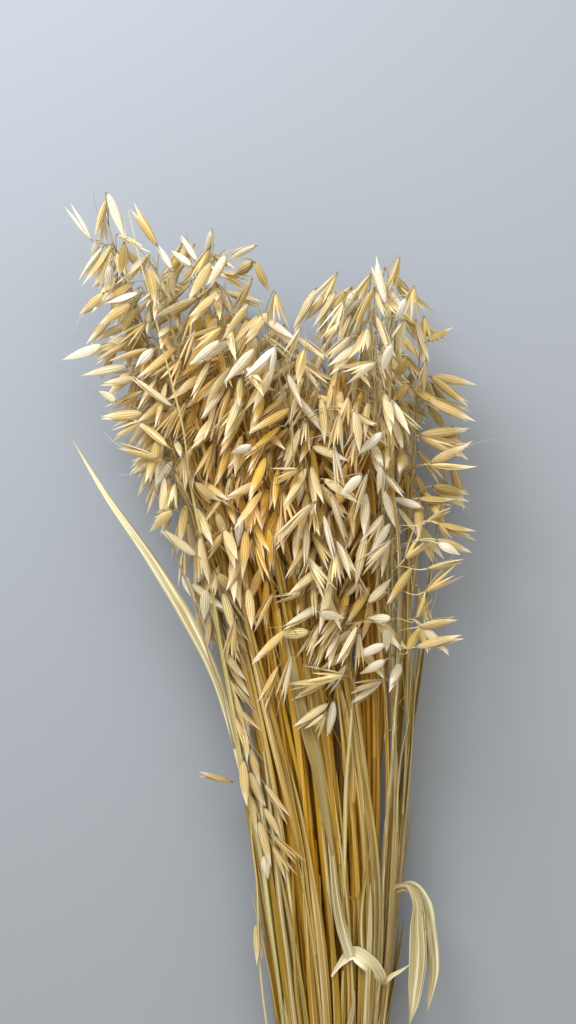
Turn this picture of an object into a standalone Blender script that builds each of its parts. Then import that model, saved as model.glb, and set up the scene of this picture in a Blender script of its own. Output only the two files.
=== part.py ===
"""A bunch of dried oats, tied and laid down.

Metres, +Z up. The bunch lies on z = 0 with its cut ends towards -Y and its heads towards +Y.
Heights along a stalk are measured from the cut ends, and the origin is under the middle of the bunch.
"""

import math
import random

import bpy
import numpy as np

# The bunch as a whole
BUNCH_LENGTH = 0.675
TIE_HEIGHT = 0.105
HEAD_HEIGHT = 0.600
TIE_X, HEAD_X = 0.036, -0.002
LEAN_POWER = 2.4
HEAD_HALF_WIDTH = 0.081
HEAD_HALF_DEPTH = 0.027
HEAD_AXIS_Z = 0.052
SPREAD_AT_ONCE = 0.64
CUT_END_SPLAY = 1.12
TWIST = math.radians(38)
SEED = 5

# How the stems lie in the tie, in rows from the bottom up
STEM_ROWS = (6, 7, 8, 7, 8, 7, 6)
STEM_PITCH = 0.0037
ROW_PITCH = STEM_PITCH * math.sqrt(3) / 2
STEM_RADIUS = 0.0017
STEM_SIDES = 5
STEM_STATIONS = (0.0, 0.099, 0.111, 0.200, 0.335, 0.470)
CUT_END_SPREAD = 0.006
WANDER = 0.30

# The top outline of the bunch: its left lobe, the dip and its right lobe, as x and height
CROWN_X = (-0.085, -0.052, -0.020, 0.000, 0.015, 0.032, 0.070, 0.090)
CROWN_HEIGHT = (0.684, 0.668, 0.652, 0.624, 0.606, 0.640, 0.648, 0.612)
LONGEST_DROP = 0.085
# Its sides, as the spikelets there may reach them, from the lowest spikelets up
EDGE_HEIGHT = (0.370, 0.406, 0.440, 0.475, 0.521, 0.567, 0.590, 0.640, 0.680)
LEFT_EDGE = (-0.014, -0.029, -0.043, -0.055, -0.081, -0.095, -0.112, -0.113, -0.106)
RIGHT_EDGE = (0.061, 0.080, 0.098, 0.109, 0.116, 0.118, 0.112, 0.084, 0.076)
LOWEST_TIP = 0.364

# One panicle: a thin axis with half-whorls of branches, each ending in a hanging spikelet
PANICLE_LENGTH = 0.172
WHORLS = 9
AXIS_RADIUS_LOW, AXIS_RADIUS_TIP = 0.0010, 0.0006
BRANCH_LOW, BRANCH_TOP = 0.050, 0.014
BRANCH_RADIUS = 0.00045
SPIKELET_LENGTH = 0.0240
SPIKELET_RADIUS = 0.0034
SPIKELET_STEPS = np.array((0.0, 0.22, 0.56, 1.0))
SPIKELET_SHAPE = np.array((0.20, 1.0, 0.84, 0.0))
SPIKELETS_EACH = 8
TRIES = 48
STEM_GAP = 0.0002
CLEARANCE = 0.0003
GOLDEN_ANGLE = math.radians(137.5)
GOLDEN_SHARE = 0.618

# The band that holds the stems
BAND_GAP = 0.0003
BAND_THICKNESS = 0.0014
BAND_STRANDS = 3
STRAND_WIDTH = 0.0028
STRAND_GROOVE = 0.0006
BAND_SIDES = 16

LEAF_THICKNESS = 0.0007
LEAF_OVER_STEMS = 0.0022

STRAW = (0.74, 0.58, 0.33, 1.0)
BAND_TAN = (0.56, 0.40, 0.22, 1.0)

TIE_HALF_WIDTH = STEM_PITCH * (max(STEM_ROWS) - 1) / 2
TIE_HALF_DEPTH = ROW_PITCH * (len(STEM_ROWS) - 1) / 2
BAND_INSIDE = STEM_RADIUS + BAND_GAP
TIE_AXIS_Z = TIE_HALF_DEPTH + BAND_INSIDE + BAND_THICKNESS


def mix(low, high, share):
    return low + (high - low) * share


def ease(share):
    share = min(max(share, 0.0), 1.0)
    return share * share * (3 - 2 * share)


def unit(vector):
    return vector / max(np.linalg.norm(vector), 1e-9)


def place(x, height, z):
    return np.array((x, height - BUNCH_LENGTH / 2, z))


# The fan of stems

def spread_at(height):
    """0 in the tie and 1 at the heads, along the fan."""
    share = max(0.0, (height - TIE_HEIGHT - 0.006) / (HEAD_HEIGHT - TIE_HEIGHT - 0.006))
    return share if share < 1 else 1 + (share - 1) * 0.3


def stem_point(across, up, height, wave=(0.0, 0.0)):
    """Where the stem that lies at (across, up) in the tie is at a height. Both run from -1 to 1."""
    spread = spread_at(height)
    grown = SPREAD_AT_ONCE * spread ** 0.6 + (1 - SPREAD_AT_ONCE) * spread ** 3
    splay = mix(CUT_END_SPLAY, 1.0, min(1.0, height / (TIE_HEIGHT - 0.006)))
    turn = TWIST * ease(spread)
    loose = WANDER / max(STEM_ROWS) * 2 * ease(spread * 2.5)
    across, up = across + loose * wave[0], up + loose * wave[1]
    u = across * math.cos(turn) - up * math.sin(turn)
    v = across * math.sin(turn) + up * math.cos(turn)
    lean = spread ** LEAN_POWER
    return place(
        mix(TIE_X, HEAD_X, lean) + splay * mix(TIE_HALF_WIDTH, HEAD_HALF_WIDTH, grown) * u,
        height,
        mix(TIE_AXIS_Z, HEAD_AXIS_Z, grown) + splay * mix(TIE_HALF_DEPTH, HEAD_HALF_DEPTH, grown) * v,
    )


class Stalk:
    """One oat stalk: where its stem runs, and the branches and leaves that grow from it."""

    def __init__(self, number, across, up, dice):
        self.name = f"oat_stalk_{number:02d}"
        self.across, self.up = across, up
        self.phase = (dice.uniform(0, 6.28), dice.uniform(0, 6.28))
        self.rate = (dice.uniform(2.0, 5.0), dice.uniform(2.0, 5.0))
        self.thickness = dice.uniform(0.93, 1.0)
        self.roll = dice.uniform(0, 6.28)
        self.cut = dice.uniform(0, CUT_END_SPREAD)
        self.first_whorl = dice.random()
        top_x = self.point(HEAD_HEIGHT)[0]
        drop = LONGEST_DROP * (number * GOLDEN_SHARE % 1.0) ** 1.7
        self.height = float(np.interp(top_x, CROWN_X, CROWN_HEIGHT)) - drop
        self.heights = [max(h, self.cut) for h in STEM_STATIONS if h < self.height - 0.042]
        self.heights.append(self.height - 0.012)
        self.line = np.array([self.point(h) for h in self.heights])
        self.branches = []
        self.leaves = []

    def point(self, height):
        share = spread_at(height)
        wave = [math.sin(p + r * share) - math.sin(p) for p, r in zip(self.phase, self.rate)]
        return stem_point(self.across, self.up, height, wave)

    def on_stem(self, height):
        """The middle of the stem as it is built, which runs straight from station to station."""
        return np.array([np.interp(height, self.heights, self.line[:, k]) for k in range(3)])

    def heading(self, height):
        return unit(self.on_stem(height + 0.004) - self.on_stem(height - 0.004))

    def radius(self, height):
        foot = self.height - PANICLE_LENGTH
        if height < foot:
            return self.thickness * mix(STEM_RADIUS, AXIS_RADIUS_LOW * 1.25, (height / foot) ** 1.3)
        return mix(AXIS_RADIUS_LOW * 1.25, AXIS_RADIUS_TIP, (height - foot) / PANICLE_LENGTH)


# What is already there, as capsules, so that nothing new runs into it

class Capsules:
    def __init__(self):
        self.ends = np.empty((0, 2, 3))
        self.radii = np.empty(0)
        self.owners = np.empty(0, int)

    def add(self, points, radii, owner):
        pairs = np.stack((points[:-1], points[1:]), axis=1)
        self.ends = np.concatenate((self.ends, pairs))
        self.radii = np.concatenate((self.radii, radii))
        self.owners = np.concatenate((self.owners, np.full(len(pairs), owner)))

    def gap(self, points, radii, leave_out=None):
        """The least free distance between this chain of capsules and those that are there."""
        keep = np.ones(len(self.radii), bool) if leave_out is None else self.owners != leave_out
        ends, others = self.ends[keep], self.radii[keep]
        low, high = points.min(0) - 0.012, points.max(0) + 0.012
        near = (ends.max(1) > low).all(1) & (ends.min(1) < high).all(1)
        ends, others = ends[near], others[near]
        if not len(others):
            return 1.0
        return float((segment_distances(points, ends) - radii[:, None] - others).min())


def segment_distances(points, ends):
    """Distances between the segments of a chain of points and each pair of ends."""
    p, d1 = points[:-1, None], (points[1:] - points[:-1])[:, None]
    q, d2 = ends[None, :, 0], (ends[:, 1] - ends[:, 0])[None]
    r = p - q
    a, e = (d1 * d1).sum(-1) + 1e-12, (d2 * d2).sum(-1) + 1e-12
    b, c, f = (d1 * d2).sum(-1), (d1 * r).sum(-1), (d2 * r).sum(-1)
    s = np.clip((b * f - c * e) / np.maximum(a * e - b * b, 1e-15), 0, 1)
    t = np.clip((b * s + f) / e, 0, 1)
    s = np.clip((b * t - c) / a, 0, 1)
    return np.linalg.norm(p + d1 * s[..., None] - q - d2 * t[..., None], axis=-1)


# Growing the panicles

def branch_and_spikelet(stalk, turn, at_whorl, dice):
    """One branch and the spikelet that hangs from it, in its own whorl or in any where that is full."""
    share = (stalk.first_whorl + turn * GOLDEN_SHARE) % 1.0 if at_whorl else dice.random()
    whorl = math.floor(share * WHORLS) / (WHORLS - 1)
    root_height = stalk.height - PANICLE_LENGTH + (PANICLE_LENGTH - 0.014) * whorl ** 0.75
    root, up = stalk.on_stem(root_height), stalk.heading(root_height)
    angle = turn * GOLDEN_ANGLE + dice.uniform(-0.9, 0.9) + stalk.roll
    side = unit(np.cross(up, (0.0, 0.0, 1.0)))
    front = np.cross(side, up)
    outward_x = np.clip((root[0] - 0.045) / 0.055, -1.0, 1.0)
    outward_x *= mix(-0.5, 1.0, ease((root_height - 0.43) / 0.10))
    outward_z = (root[2] - HEAD_AXIS_Z) / HEAD_HALF_DEPTH
    outward = unit(
        side * (math.cos(angle) + 0.85 * outward_x) + front * (math.sin(angle) + 0.45 * outward_z)
    )
    length = mix(BRANCH_LOW, BRANCH_TOP, whorl) * dice.uniform(0.45, 1.05)
    opened = math.radians(dice.uniform(14, 32))
    droop = math.radians(dice.uniform(20, 60) + 20 * abs(outward_x) * dice.random())
    branch = {
        "root": root, "height": root_height, "whorl": whorl,
        "base": root + length * (up * math.cos(opened) + outward * math.sin(opened)),
        "hang": unit(outward * math.sin(droop) - up * math.cos(droop)),
        "length": SPIKELET_LENGTH * dice.uniform(0.88, 1.12),
        "radius": SPIKELET_RADIUS * dice.uniform(0.88, 1.04),
        "roll": dice.uniform(0, 2.09),
    }
    return rested(branch)


def body_line(branch):
    return branch["base"] + SPIKELET_STEPS[:, None] * branch["length"] * branch["hang"]


def rested(branch):
    """The branch, with a spikelet that would reach below the surface lifted to lie on it."""
    low = branch_shape(branch)[0][:, 2].min()
    if low < 0:
        branch["base"] = branch["base"] + np.array((0.0, 0.0, -low))
    branch["lifted"] = -min(low, 0.0)
    return branch


def grow_panicles(stalks, taken, dice):
    """Spikelets are dealt out one to a stalk in turn, each where it is clear of all that is there."""
    for turn in range(SPIKELETS_EACH):
        for owner, stalk in enumerate(stalks):
            for attempt in range(TRIES):
                branch = branch_and_spikelet(stalk, turn, attempt < TRIES / 3, dice)
                if branch["lifted"] > 0.012 or not inside_outline(branch):
                    continue
                if add_branch(branch, owner, stalk, taken):
                    break


def inside_outline(branch):
    """Whether the spikelet keeps to the outline of the bunch, seen from above."""
    tip = branch["base"] + branch["hang"] * branch["length"]
    for x, y, _ in (branch["base"], tip):
        height = y + BUNCH_LENGTH / 2
        left, right = (float(np.interp(height, EDGE_HEIGHT, edge)) for edge in (LEFT_EDGE, RIGHT_EDGE))
        if not left < x < right:
            return False
    return tip[1] + BUNCH_LENGTH / 2 > LOWEST_TIP


def add_branch(branch, owner, stalk, taken, leave_out=None):
    body = body_line(branch)
    stem = np.stack((branch["root"], branch["base"]))
    body_radii = branch["radius"] * np.array((0.6, 0.98, 0.72))
    stem_radii = np.array((BRANCH_RADIUS,))
    if taken.gap(body, body_radii, leave_out) < CLEARANCE:
        return False
    if taken.gap(stem, stem_radii, owner) < CLEARANCE:
        return False
    stalk.branches.append(branch)
    taken.add(body, body_radii, owner)
    taken.add(stem, stem_radii, owner)
    return True


# Leaf blades that are still on the stalks, and two spikelets low down on the outermost stalk

# About where its joint is, as x and height, its width, and the line it runs along as x, height
# and z. Where x is left out it follows its stem, and without z it lies over the stems below it.
LEAVES = (
    (-0.040, 0.325, 0.0060, (
        (None, 0.350, None), (-0.0230, 0.380, None), (-0.0320, 0.410, 0.053), (-0.0460, 0.440, 0.057),
        (-0.0670, 0.475, 0.060), (-0.0950, 0.515, 0.060), (-0.1140, 0.546, 0.057))),
    (0.085, 0.272, 0.0130, (
        (0.0780, 0.287, 0.040), (0.0835, 0.284, 0.041), (0.0865, 0.270, 0.041),
        (0.0888, 0.252, 0.039), (0.0886, 0.232, 0.036), (0.0835, 0.204, 0.033))),
    (0.036, 0.295, 0.0080, (
        (None, 0.320, None), (0.0260, 0.348, None), (0.0190, 0.378, None),
        (0.0130, 0.410, None), (0.0070, 0.442, None))),
    (0.067, 0.2255, 0.0085, (
        (0.0620, 0.2350, None), (0.0550, 0.2445, None), (0.0475, 0.2485, None), (0.0405, 0.2430, None),
        (0.0350, 0.2350, None))),
)
LOW_SPIKELETS = (
    # height of its root, its base and its tip, as x and height
    (0.338, (-0.0220, 0.345), (-0.0400, 0.350)),
    (0.248, (-0.0090, 0.262), (-0.0060, 0.241)),
)


def stalk_at(stalks, x, height):
    """The stalk near x at a height that is open to the view from above."""
    return max(stalks, key=lambda s: s.on_stem(height)[2] - 2 * abs(s.on_stem(height)[0] - x))


def top_of_stems(stalks, x, height, half):
    """How high the stems reach that pass under a short piece of a strip round x."""
    tops = [HEAD_AXIS_Z - HEAD_HALF_DEPTH]
    for stalk in stalks:
        for at in (height - 0.012, height, height + 0.012):
            centre, radius = stalk.on_stem(at), stalk.radius(at)
            if abs(centre[0] - x) < half + radius:
                tops.append(centre[2] + radius)
    return max(tops)


def make_leaves(stalks, taken):
    for joint_x, joint, width, steps in LEAVES:
        stalk = stalk_at(stalks, joint_x, joint)
        points = [stalk.on_stem(joint)]
        for x, height, z in steps:
            x = stalk.on_stem(height)[0] if x is None else x
            over = top_of_stems(stalks, x, height, width / 2) + LEAF_OVER_STEMS
            points.append(place(x, height, over if z is None else z))
        line = np.array(points)
        stalk.leaves.append((line, width))
        taken.add(line[1:], np.full(len(line) - 2, width / 2), stalks.index(stalk))


def make_low_spikelets(stalks, taken):
    stalk = stalk_at(stalks, -0.040, 0.300)
    for height, base, tip in LOW_SPIKELETS:
        root = stalk.on_stem(height)
        start, end = place(*base, root[2]), place(*tip, root[2] + 0.002)
        branch = {
            "root": root, "base": start, "hang": unit(end - start), "roll": 0.4,
            "length": float(np.linalg.norm(end - start)), "radius": SPIKELET_RADIUS * 0.8,
        }
        add_branch(branch, stalks.index(stalk), stalk, taken, stalks.index(stalk))


# Meshes

def frames_along(points, start):
    """A pair of directions across the line at each point, carried along it without twisting."""
    ways = np.diff(points, axis=0)
    ways = ways / np.linalg.norm(ways, axis=1)[:, None]
    headings = np.array([unit(a + b) for a, b in zip(np.vstack((ways[:1], ways)), np.vstack((ways, ways[-1:])))])
    across, pairs = start, []
    for heading in headings:
        across = unit(across - heading * (across @ heading))
        pairs.append((across, np.cross(heading, across)))
    return pairs


def tube(points, radii, sides, start, roll=0.0):
    """Closed skin round a line. A last radius of 0 brings it to a point."""
    pointed = radii[-1] == 0
    vertices, faces = [], []
    for point, radius, (a, b) in zip(points, radii, frames_along(points, start)):
        if radius == 0:
            vertices.append(point)
            continue
        for k in range(sides):
            angle = roll + 2 * math.pi * k / sides
            vertices.append(point + radius * (math.cos(angle) * a + math.sin(angle) * b))
    rings = len(points) - (1 if pointed else 0)
    for ring in range(rings - 1):
        for k in range(sides):
            a, b = ring * sides + k, ring * sides + (k + 1) % sides
            faces += [(a, b, b + sides), (a, b + sides, a + sides)]
    last = (rings - 1) * sides
    if pointed:
        faces += [(last + k, last + (k + 1) % sides, len(vertices) - 1) for k in range(sides)]
    else:
        faces.append(tuple(range(last, last + sides)))
    faces.append(tuple(reversed(range(sides))))
    return np.array(vertices), faces


def blade(line, widest):
    """A thin leaf blade that lies flat to the view from above, drawn out to its tip."""
    count = len(line)
    vertices, faces = [], []
    for k, point in enumerate(line):
        share = k / (count - 1)
        heading = unit(line[min(k + 1, count - 1)] - line[max(k - 1, 0)])
        side = unit(np.cross(heading, (0.0, 0.0, 1.0)))
        lift = np.cross(side, heading) * LEAF_THICKNESS / 2
        side = side * widest / 2 * max(0.07, math.sin(math.pi * (0.2 + 0.8 * share)))
        vertices += [point - side + lift, point + side + lift, point + side - lift, point - side - lift]
    for k in range(count - 1):
        a = 4 * k
        b = a + 4
        faces += [(a, a + 1, b + 1), (a, b + 1, b)]
        faces += [(a + 1, a + 2, b + 2), (a + 1, b + 2, b + 1)]
        faces += [(a + 2, a + 3, b + 2), (a + 3, b + 3, b + 2)]
        faces += [(a + 3, a, b), (a + 3, b, b + 3)]
    last = 4 * (count - 1)
    faces += [(3, 2, 1, 0), (last, last + 1, last + 2, last + 3)]
    return np.array(vertices), faces


def new_object(name, shape, collection):
    mesh = bpy.data.meshes.new(name)
    mesh.from_pydata([tuple(v) for v in shape[0]], [], shape[1])
    obj = bpy.data.objects.new(name, mesh)
    collection.objects.link(obj)
    return obj


def material(name, colour, roughness):
    made = bpy.data.materials.new(name)
    made.use_nodes = True
    shader = made.node_tree.nodes["Principled BSDF"]
    shader.inputs["Base Color"].default_value = colour
    shader.inputs["Roughness"].default_value = roughness
    made.diffuse_color = colour
    return made


def stem_shape(stalk):
    radii = [stalk.radius(h) for h in stalk.heights]
    return tube(stalk.line, radii, STEM_SIDES, np.array((1.0, 0.0, 0.0)), stalk.roll)


def branch_shape(branch):
    points = np.vstack((branch["root"], body_line(branch)))
    radii = [BRANCH_RADIUS, *(branch["radius"] * SPIKELET_SHAPE)]
    side = np.cross(branch["base"] - branch["root"], branch["hang"])
    return tube(points, radii, 3, unit(side), branch["roll"])


def fuse(obj, pieces):
    """Joins the pieces to the object in one Boolean union, and removes them."""
    union = obj.modifiers.new("grown together", "BOOLEAN")
    union.operation = "UNION"
    union.operand_type = "COLLECTION"
    union.collection = pieces
    union.solver = "MANIFOLD"
    with bpy.context.temp_override(object=obj, active_object=obj):
        bpy.ops.object.modifier_apply(modifier=union.name)
    for piece in list(pieces.objects):
        bpy.data.objects.remove(piece)
    bpy.data.collections.remove(pieces)


def make_stalk(stalk, straw):
    scene = bpy.context.scene.collection
    obj = new_object(stalk.name, stem_shape(stalk), scene)
    pieces = bpy.data.collections.new(f"{stalk.name} branches")
    scene.children.link(pieces)
    for number, branch in enumerate(stalk.branches):
        new_object(f"branch {number}", branch_shape(branch), pieces)
    for number, (line, width) in enumerate(stalk.leaves):
        new_object(f"leaf {number}", blade(line, width), pieces)
    fuse(obj, pieces)
    obj.data.materials.clear()
    obj.data.materials.append(straw)


def band_outline(stems, distance):
    """The stems' own outline in the tie, that far out, as points in x and z."""
    distance /= math.cos(math.pi / BAND_SIDES)
    points = []
    for k in range(BAND_SIDES):
        angle = 2 * math.pi * (k + 0.5) / BAND_SIDES
        way = np.array((math.cos(angle), math.sin(angle)))
        points.append(max(stems, key=lambda c: float(c @ way)) + way * distance)
    return points


def make_band(stalks, tan):
    stems = [s.point(TIE_HEIGHT)[[0, 2]] for s in stalks]
    inner, outer = BAND_INSIDE, BAND_INSIDE + BAND_THICKNESS
    half = BAND_STRANDS * STRAND_WIDTH / 2
    profile = [(-half, inner)]
    for strand in range(BAND_STRANDS):
        start = -half + strand * STRAND_WIDTH
        profile += [(start, outer - STRAND_GROOVE), (start + STRAND_GROOVE, outer)]
        profile += [(start + STRAND_WIDTH - STRAND_GROOVE, outer)]
    profile += [(half, outer - STRAND_GROOVE), (half, inner)]
    vertices, faces = [], []
    for offset, distance in profile:
        for x, z in band_outline(stems, distance):
            vertices.append(place(x, TIE_HEIGHT + offset, z))
    rings = len(profile)
    for ring in range(rings):
        for k in range(BAND_SIDES):
            a, b = ring * BAND_SIDES + k, ring * BAND_SIDES + (k + 1) % BAND_SIDES
            c, d = (ring + 1) % rings * BAND_SIDES + (k + 1) % BAND_SIDES, (ring + 1) % rings * BAND_SIDES + k
            faces.append((a, d, c, b))
    obj = new_object("tie_band", (vertices, faces), bpy.context.scene.collection)
    obj.data.materials.append(tan)


def lay_out():
    dice = random.Random(SEED)
    taken = Capsules()
    stalks = []
    for row, count in enumerate(STEM_ROWS):
        for column in range(count):
            across = (column - (count - 1) / 2) * STEM_PITCH / TIE_HALF_WIDTH
            up = (row - (len(STEM_ROWS) - 1) / 2) * ROW_PITCH / TIE_HALF_DEPTH
            for _ in range(TRIES):
                stalk = Stalk(len(stalks) + 1, across, up, dice)
                radii = np.array([stalk.radius(h) for h in stalk.heights[:-1]])
                if taken.gap(stalk.line, radii) > STEM_GAP:
                    break
            taken.add(stalk.line, radii, len(stalks))
            stalks.append(stalk)
    make_leaves(stalks, taken)
    make_low_spikelets(stalks, taken)
    grow_panicles(stalks, taken, dice)
    return stalks


def main():
    for obj in list(bpy.data.objects):
        bpy.data.objects.remove(obj)
    straw = material("bleached straw", STRAW, 0.7)
    tan = material("rubber band", BAND_TAN, 0.6)
    stalks = lay_out()
    for stalk in stalks:
        make_stalk(stalk, straw)
    make_band(stalks, tan)


main()
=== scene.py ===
"""A bunch of dried oats, tied and laid down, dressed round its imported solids.

Metres, in the frame of the solids: cut ends towards -Y, heads towards +Y, resting on z = 0.
Heights along a stalk are measured from the cut ends.
"""

import math
import random

import bpy
import numpy as np
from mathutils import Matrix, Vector


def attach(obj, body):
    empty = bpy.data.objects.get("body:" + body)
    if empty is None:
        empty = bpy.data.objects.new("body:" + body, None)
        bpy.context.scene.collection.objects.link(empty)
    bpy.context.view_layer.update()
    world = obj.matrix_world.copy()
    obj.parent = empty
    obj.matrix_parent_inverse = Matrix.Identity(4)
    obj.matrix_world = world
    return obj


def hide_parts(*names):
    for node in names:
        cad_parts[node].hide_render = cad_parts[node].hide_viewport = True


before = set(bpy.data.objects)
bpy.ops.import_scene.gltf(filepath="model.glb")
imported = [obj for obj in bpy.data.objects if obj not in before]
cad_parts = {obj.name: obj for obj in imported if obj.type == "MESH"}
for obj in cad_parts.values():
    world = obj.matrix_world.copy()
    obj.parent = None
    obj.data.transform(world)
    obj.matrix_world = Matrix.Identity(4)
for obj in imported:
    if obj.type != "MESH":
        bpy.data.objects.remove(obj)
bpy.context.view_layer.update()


# The bunch
# Forty-nine cut stalks, held together low down, so that their stems fan out towards the heads.
# They are laid out by the rule that the solids were grown by, draw for draw, so that every stem,
# leaf and spikelet below lies where its solid lies.

BUNCH_LENGTH = 0.675
TIE_HEIGHT = 0.105
TIE_HOLD = 0.006
HEAD_HEIGHT = 0.600
TIE_X, HEAD_X = 0.036, -0.002
LEAN_POWER = 2.4
HEAD_HALF_WIDTH = 0.081
HEAD_HALF_DEPTH = 0.027
HEAD_AXIS_Z = 0.052
SPREAD_AT_ONCE = 0.64
OPENS_PAST_HEADS = 0.3
CUT_END_SPLAY = 1.12
TWIST = math.radians(38)
SEED = 5
STEM_ROWS = (6, 7, 8, 7, 8, 7, 6)
STEM_PITCH = 0.0037
ROW_PITCH = STEM_PITCH * math.sqrt(3) / 2
STEM_RADIUS = 0.0017
STEM_STATIONS = (0.0, 0.099, 0.111, 0.200, 0.335, 0.470)
LAST_RUN, TOP_SHORT = 0.042, 0.012
CUT_END_SPREAD = 0.006
WANDER = 0.30
CROWN_X = (-0.085, -0.052, -0.020, 0.000, 0.015, 0.032, 0.070, 0.090)
CROWN_HEIGHT = (0.684, 0.668, 0.652, 0.624, 0.606, 0.640, 0.648, 0.612)
LONGEST_DROP = 0.085
# The sides of the head, as far as a spikelet there may reach, from the lowest spikelets up
EDGE_HEIGHT = (0.370, 0.406, 0.440, 0.475, 0.521, 0.567, 0.590, 0.640, 0.680)
LEFT_EDGE = (-0.014, -0.029, -0.043, -0.055, -0.081, -0.095, -0.112, -0.113, -0.106)
RIGHT_EDGE = (0.061, 0.080, 0.098, 0.109, 0.116, 0.118, 0.112, 0.084, 0.076)
LOWEST_TIP = 0.364
PANICLE_LENGTH = 0.172
WHORLS = 9
AXIS_RADIUS_FOOT, AXIS_RADIUS_TIP = 0.0010 * 1.25, 0.0006
BRANCH_LOW, BRANCH_TOP = 0.050, 0.014
BRANCH_RADIUS = 0.00045
BRANCH_OPENED, SPIKELET_DROOP = (14, 32), (20, 60)
SPIKELET_LENGTH = 0.0240
SPIKELET_RADIUS = 0.0034
SPIKELET_STEPS = np.array((0.0, 0.22, 0.56, 1.0))
SPIKELET_SHAPE = np.array((0.20, 1.0, 0.84, 0.0))
SPIKELET_GIRTH = np.array((0.6, 0.98, 0.72))
SPIKELETS_EACH = 8
TRIES = 48
MOST_LIFT = 0.012
STEM_GAP = 0.0002
CLEARANCE = 0.0003
LOOK_ROUND = 0.012
GOLDEN_ANGLE = math.radians(137.5)
GOLDEN_SHARE = 0.618
BAND_GAP = 0.0003
BAND_THICKNESS = 0.0014
LEAF_OVER_STEMS = 0.0022
TIE_HALF_WIDTH = STEM_PITCH * (max(STEM_ROWS) - 1) / 2
TIE_HALF_DEPTH = ROW_PITCH * (len(STEM_ROWS) - 1) / 2
BAND_INSIDE = STEM_RADIUS + BAND_GAP
TIE_AXIS_Z = TIE_HALF_DEPTH + BAND_INSIDE + BAND_THICKNESS
# The leaves that are still on: about where the joint is, as x and height, the width, and the line
# that it runs along as x, height and z
LEAVES = (
    (-0.040, 0.325, 0.0060, (
        (None, 0.350, None), (-0.0230, 0.380, None), (-0.0320, 0.410, 0.053), (-0.0460, 0.440, 0.057),
        (-0.0670, 0.475, 0.060), (-0.0950, 0.515, 0.060), (-0.1140, 0.546, 0.057))),
    (0.085, 0.272, 0.0130, (
        (0.0780, 0.287, 0.040), (0.0835, 0.284, 0.041), (0.0865, 0.270, 0.041),
        (0.0888, 0.252, 0.039), (0.0886, 0.232, 0.036), (0.0835, 0.204, 0.033))),
    (0.036, 0.295, 0.0080, (
        (None, 0.320, None), (0.0260, 0.348, None), (0.0190, 0.378, None),
        (0.0130, 0.410, None), (0.0070, 0.442, None))),
    (0.067, 0.2255, 0.0085, (
        (0.0620, 0.2350, None), (0.0550, 0.2445, None), (0.0475, 0.2485, None), (0.0405, 0.2430, None),
        (0.0350, 0.2350, None))),
)
# Two low spikelets: the stalk they hang from, by a place as x and height; the height of each root, and
# its foot and tip, as x and height
LOW_STALK = (-0.040, 0.300)
LOW_SPIKELETS = (
    (0.338, (-0.0220, 0.345), (-0.0400, 0.350)),
    (0.248, (-0.0090, 0.262), (-0.0060, 0.241)),
)


def mix(low, high, share):
    return low + (high - low) * share


def ease(share):
    share = min(max(share, 0.0), 1.0)
    return share * share * (3 - 2 * share)


def unit(vector):
    return vector / max(np.linalg.norm(vector), 1e-9)


def units(vectors):
    return vectors / np.linalg.norm(vectors, axis=1)[:, None]


def place(x, height, z):
    return np.array((x, height - BUNCH_LENGTH / 2, z))


def height_of(point):
    return point[1] + BUNCH_LENGTH / 2


def spread_at(height):
    """How far along the fan a height is: 0 in the tie and 1 at the heads, past which it opens less."""
    share = max(0.0, (height - TIE_HEIGHT - TIE_HOLD) / (HEAD_HEIGHT - TIE_HEIGHT - TIE_HOLD))
    return share if share < 1 else 1 + (share - 1) * OPENS_PAST_HEADS


def fanned(spread):
    """How far the stems are apart: 0 as in the tie and 1 as in the heads."""
    return SPREAD_AT_ONCE * spread ** 0.6 + (1 - SPREAD_AT_ONCE) * spread ** 3


def stem_point(across, up, height, wave):
    """Where the stem that lies at (across, up) in the tie is at a height. Both run from -1 to 1."""
    spread = spread_at(height)
    grown = fanned(spread)
    splay = mix(CUT_END_SPLAY, 1.0, min(1.0, height / (TIE_HEIGHT - TIE_HOLD)))
    turn = TWIST * ease(spread)
    loose = WANDER / max(STEM_ROWS) * 2 * ease(spread * 2.5)
    across, up = across + loose * wave[0], up + loose * wave[1]
    u = across * math.cos(turn) - up * math.sin(turn)
    v = across * math.sin(turn) + up * math.cos(turn)
    lean = spread ** LEAN_POWER
    return place(
        mix(TIE_X, HEAD_X, lean) + splay * mix(TIE_HALF_WIDTH, HEAD_HALF_WIDTH, grown) * u,
        height,
        mix(TIE_AXIS_Z, HEAD_AXIS_Z, grown) + splay * mix(TIE_HALF_DEPTH, HEAD_HALF_DEPTH, grown) * v,
    )


def smooth(at, line, where):
    """A line that bends smoothly through points given at places, and runs straight on past the last."""
    steps = np.diff(at)[:, None]
    slopes = np.diff(line, axis=0) / steps
    inner = (slopes[:-1] * steps[1:] + slopes[1:] * steps[:-1]) / (steps[:-1] + steps[1:])
    bends = np.vstack((slopes[:1], inner, slopes[-1:]))
    run = np.clip(np.searchsorted(at, where) - 1, 0, len(at) - 2)
    step = steps[run]
    t = ((where - at[run]) / step[:, 0])[:, None]
    past = np.maximum(t - 1, 0)
    t = np.minimum(t, 1)
    return (
        line[run] * (1 + 2 * t) * (1 - t) ** 2
        + bends[run] * step * t * (1 - t) ** 2
        + line[run + 1] * t ** 2 * (3 - 2 * t)
        + bends[run + 1] * step * (t ** 2 * (t - 1) + past)
    )


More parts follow.
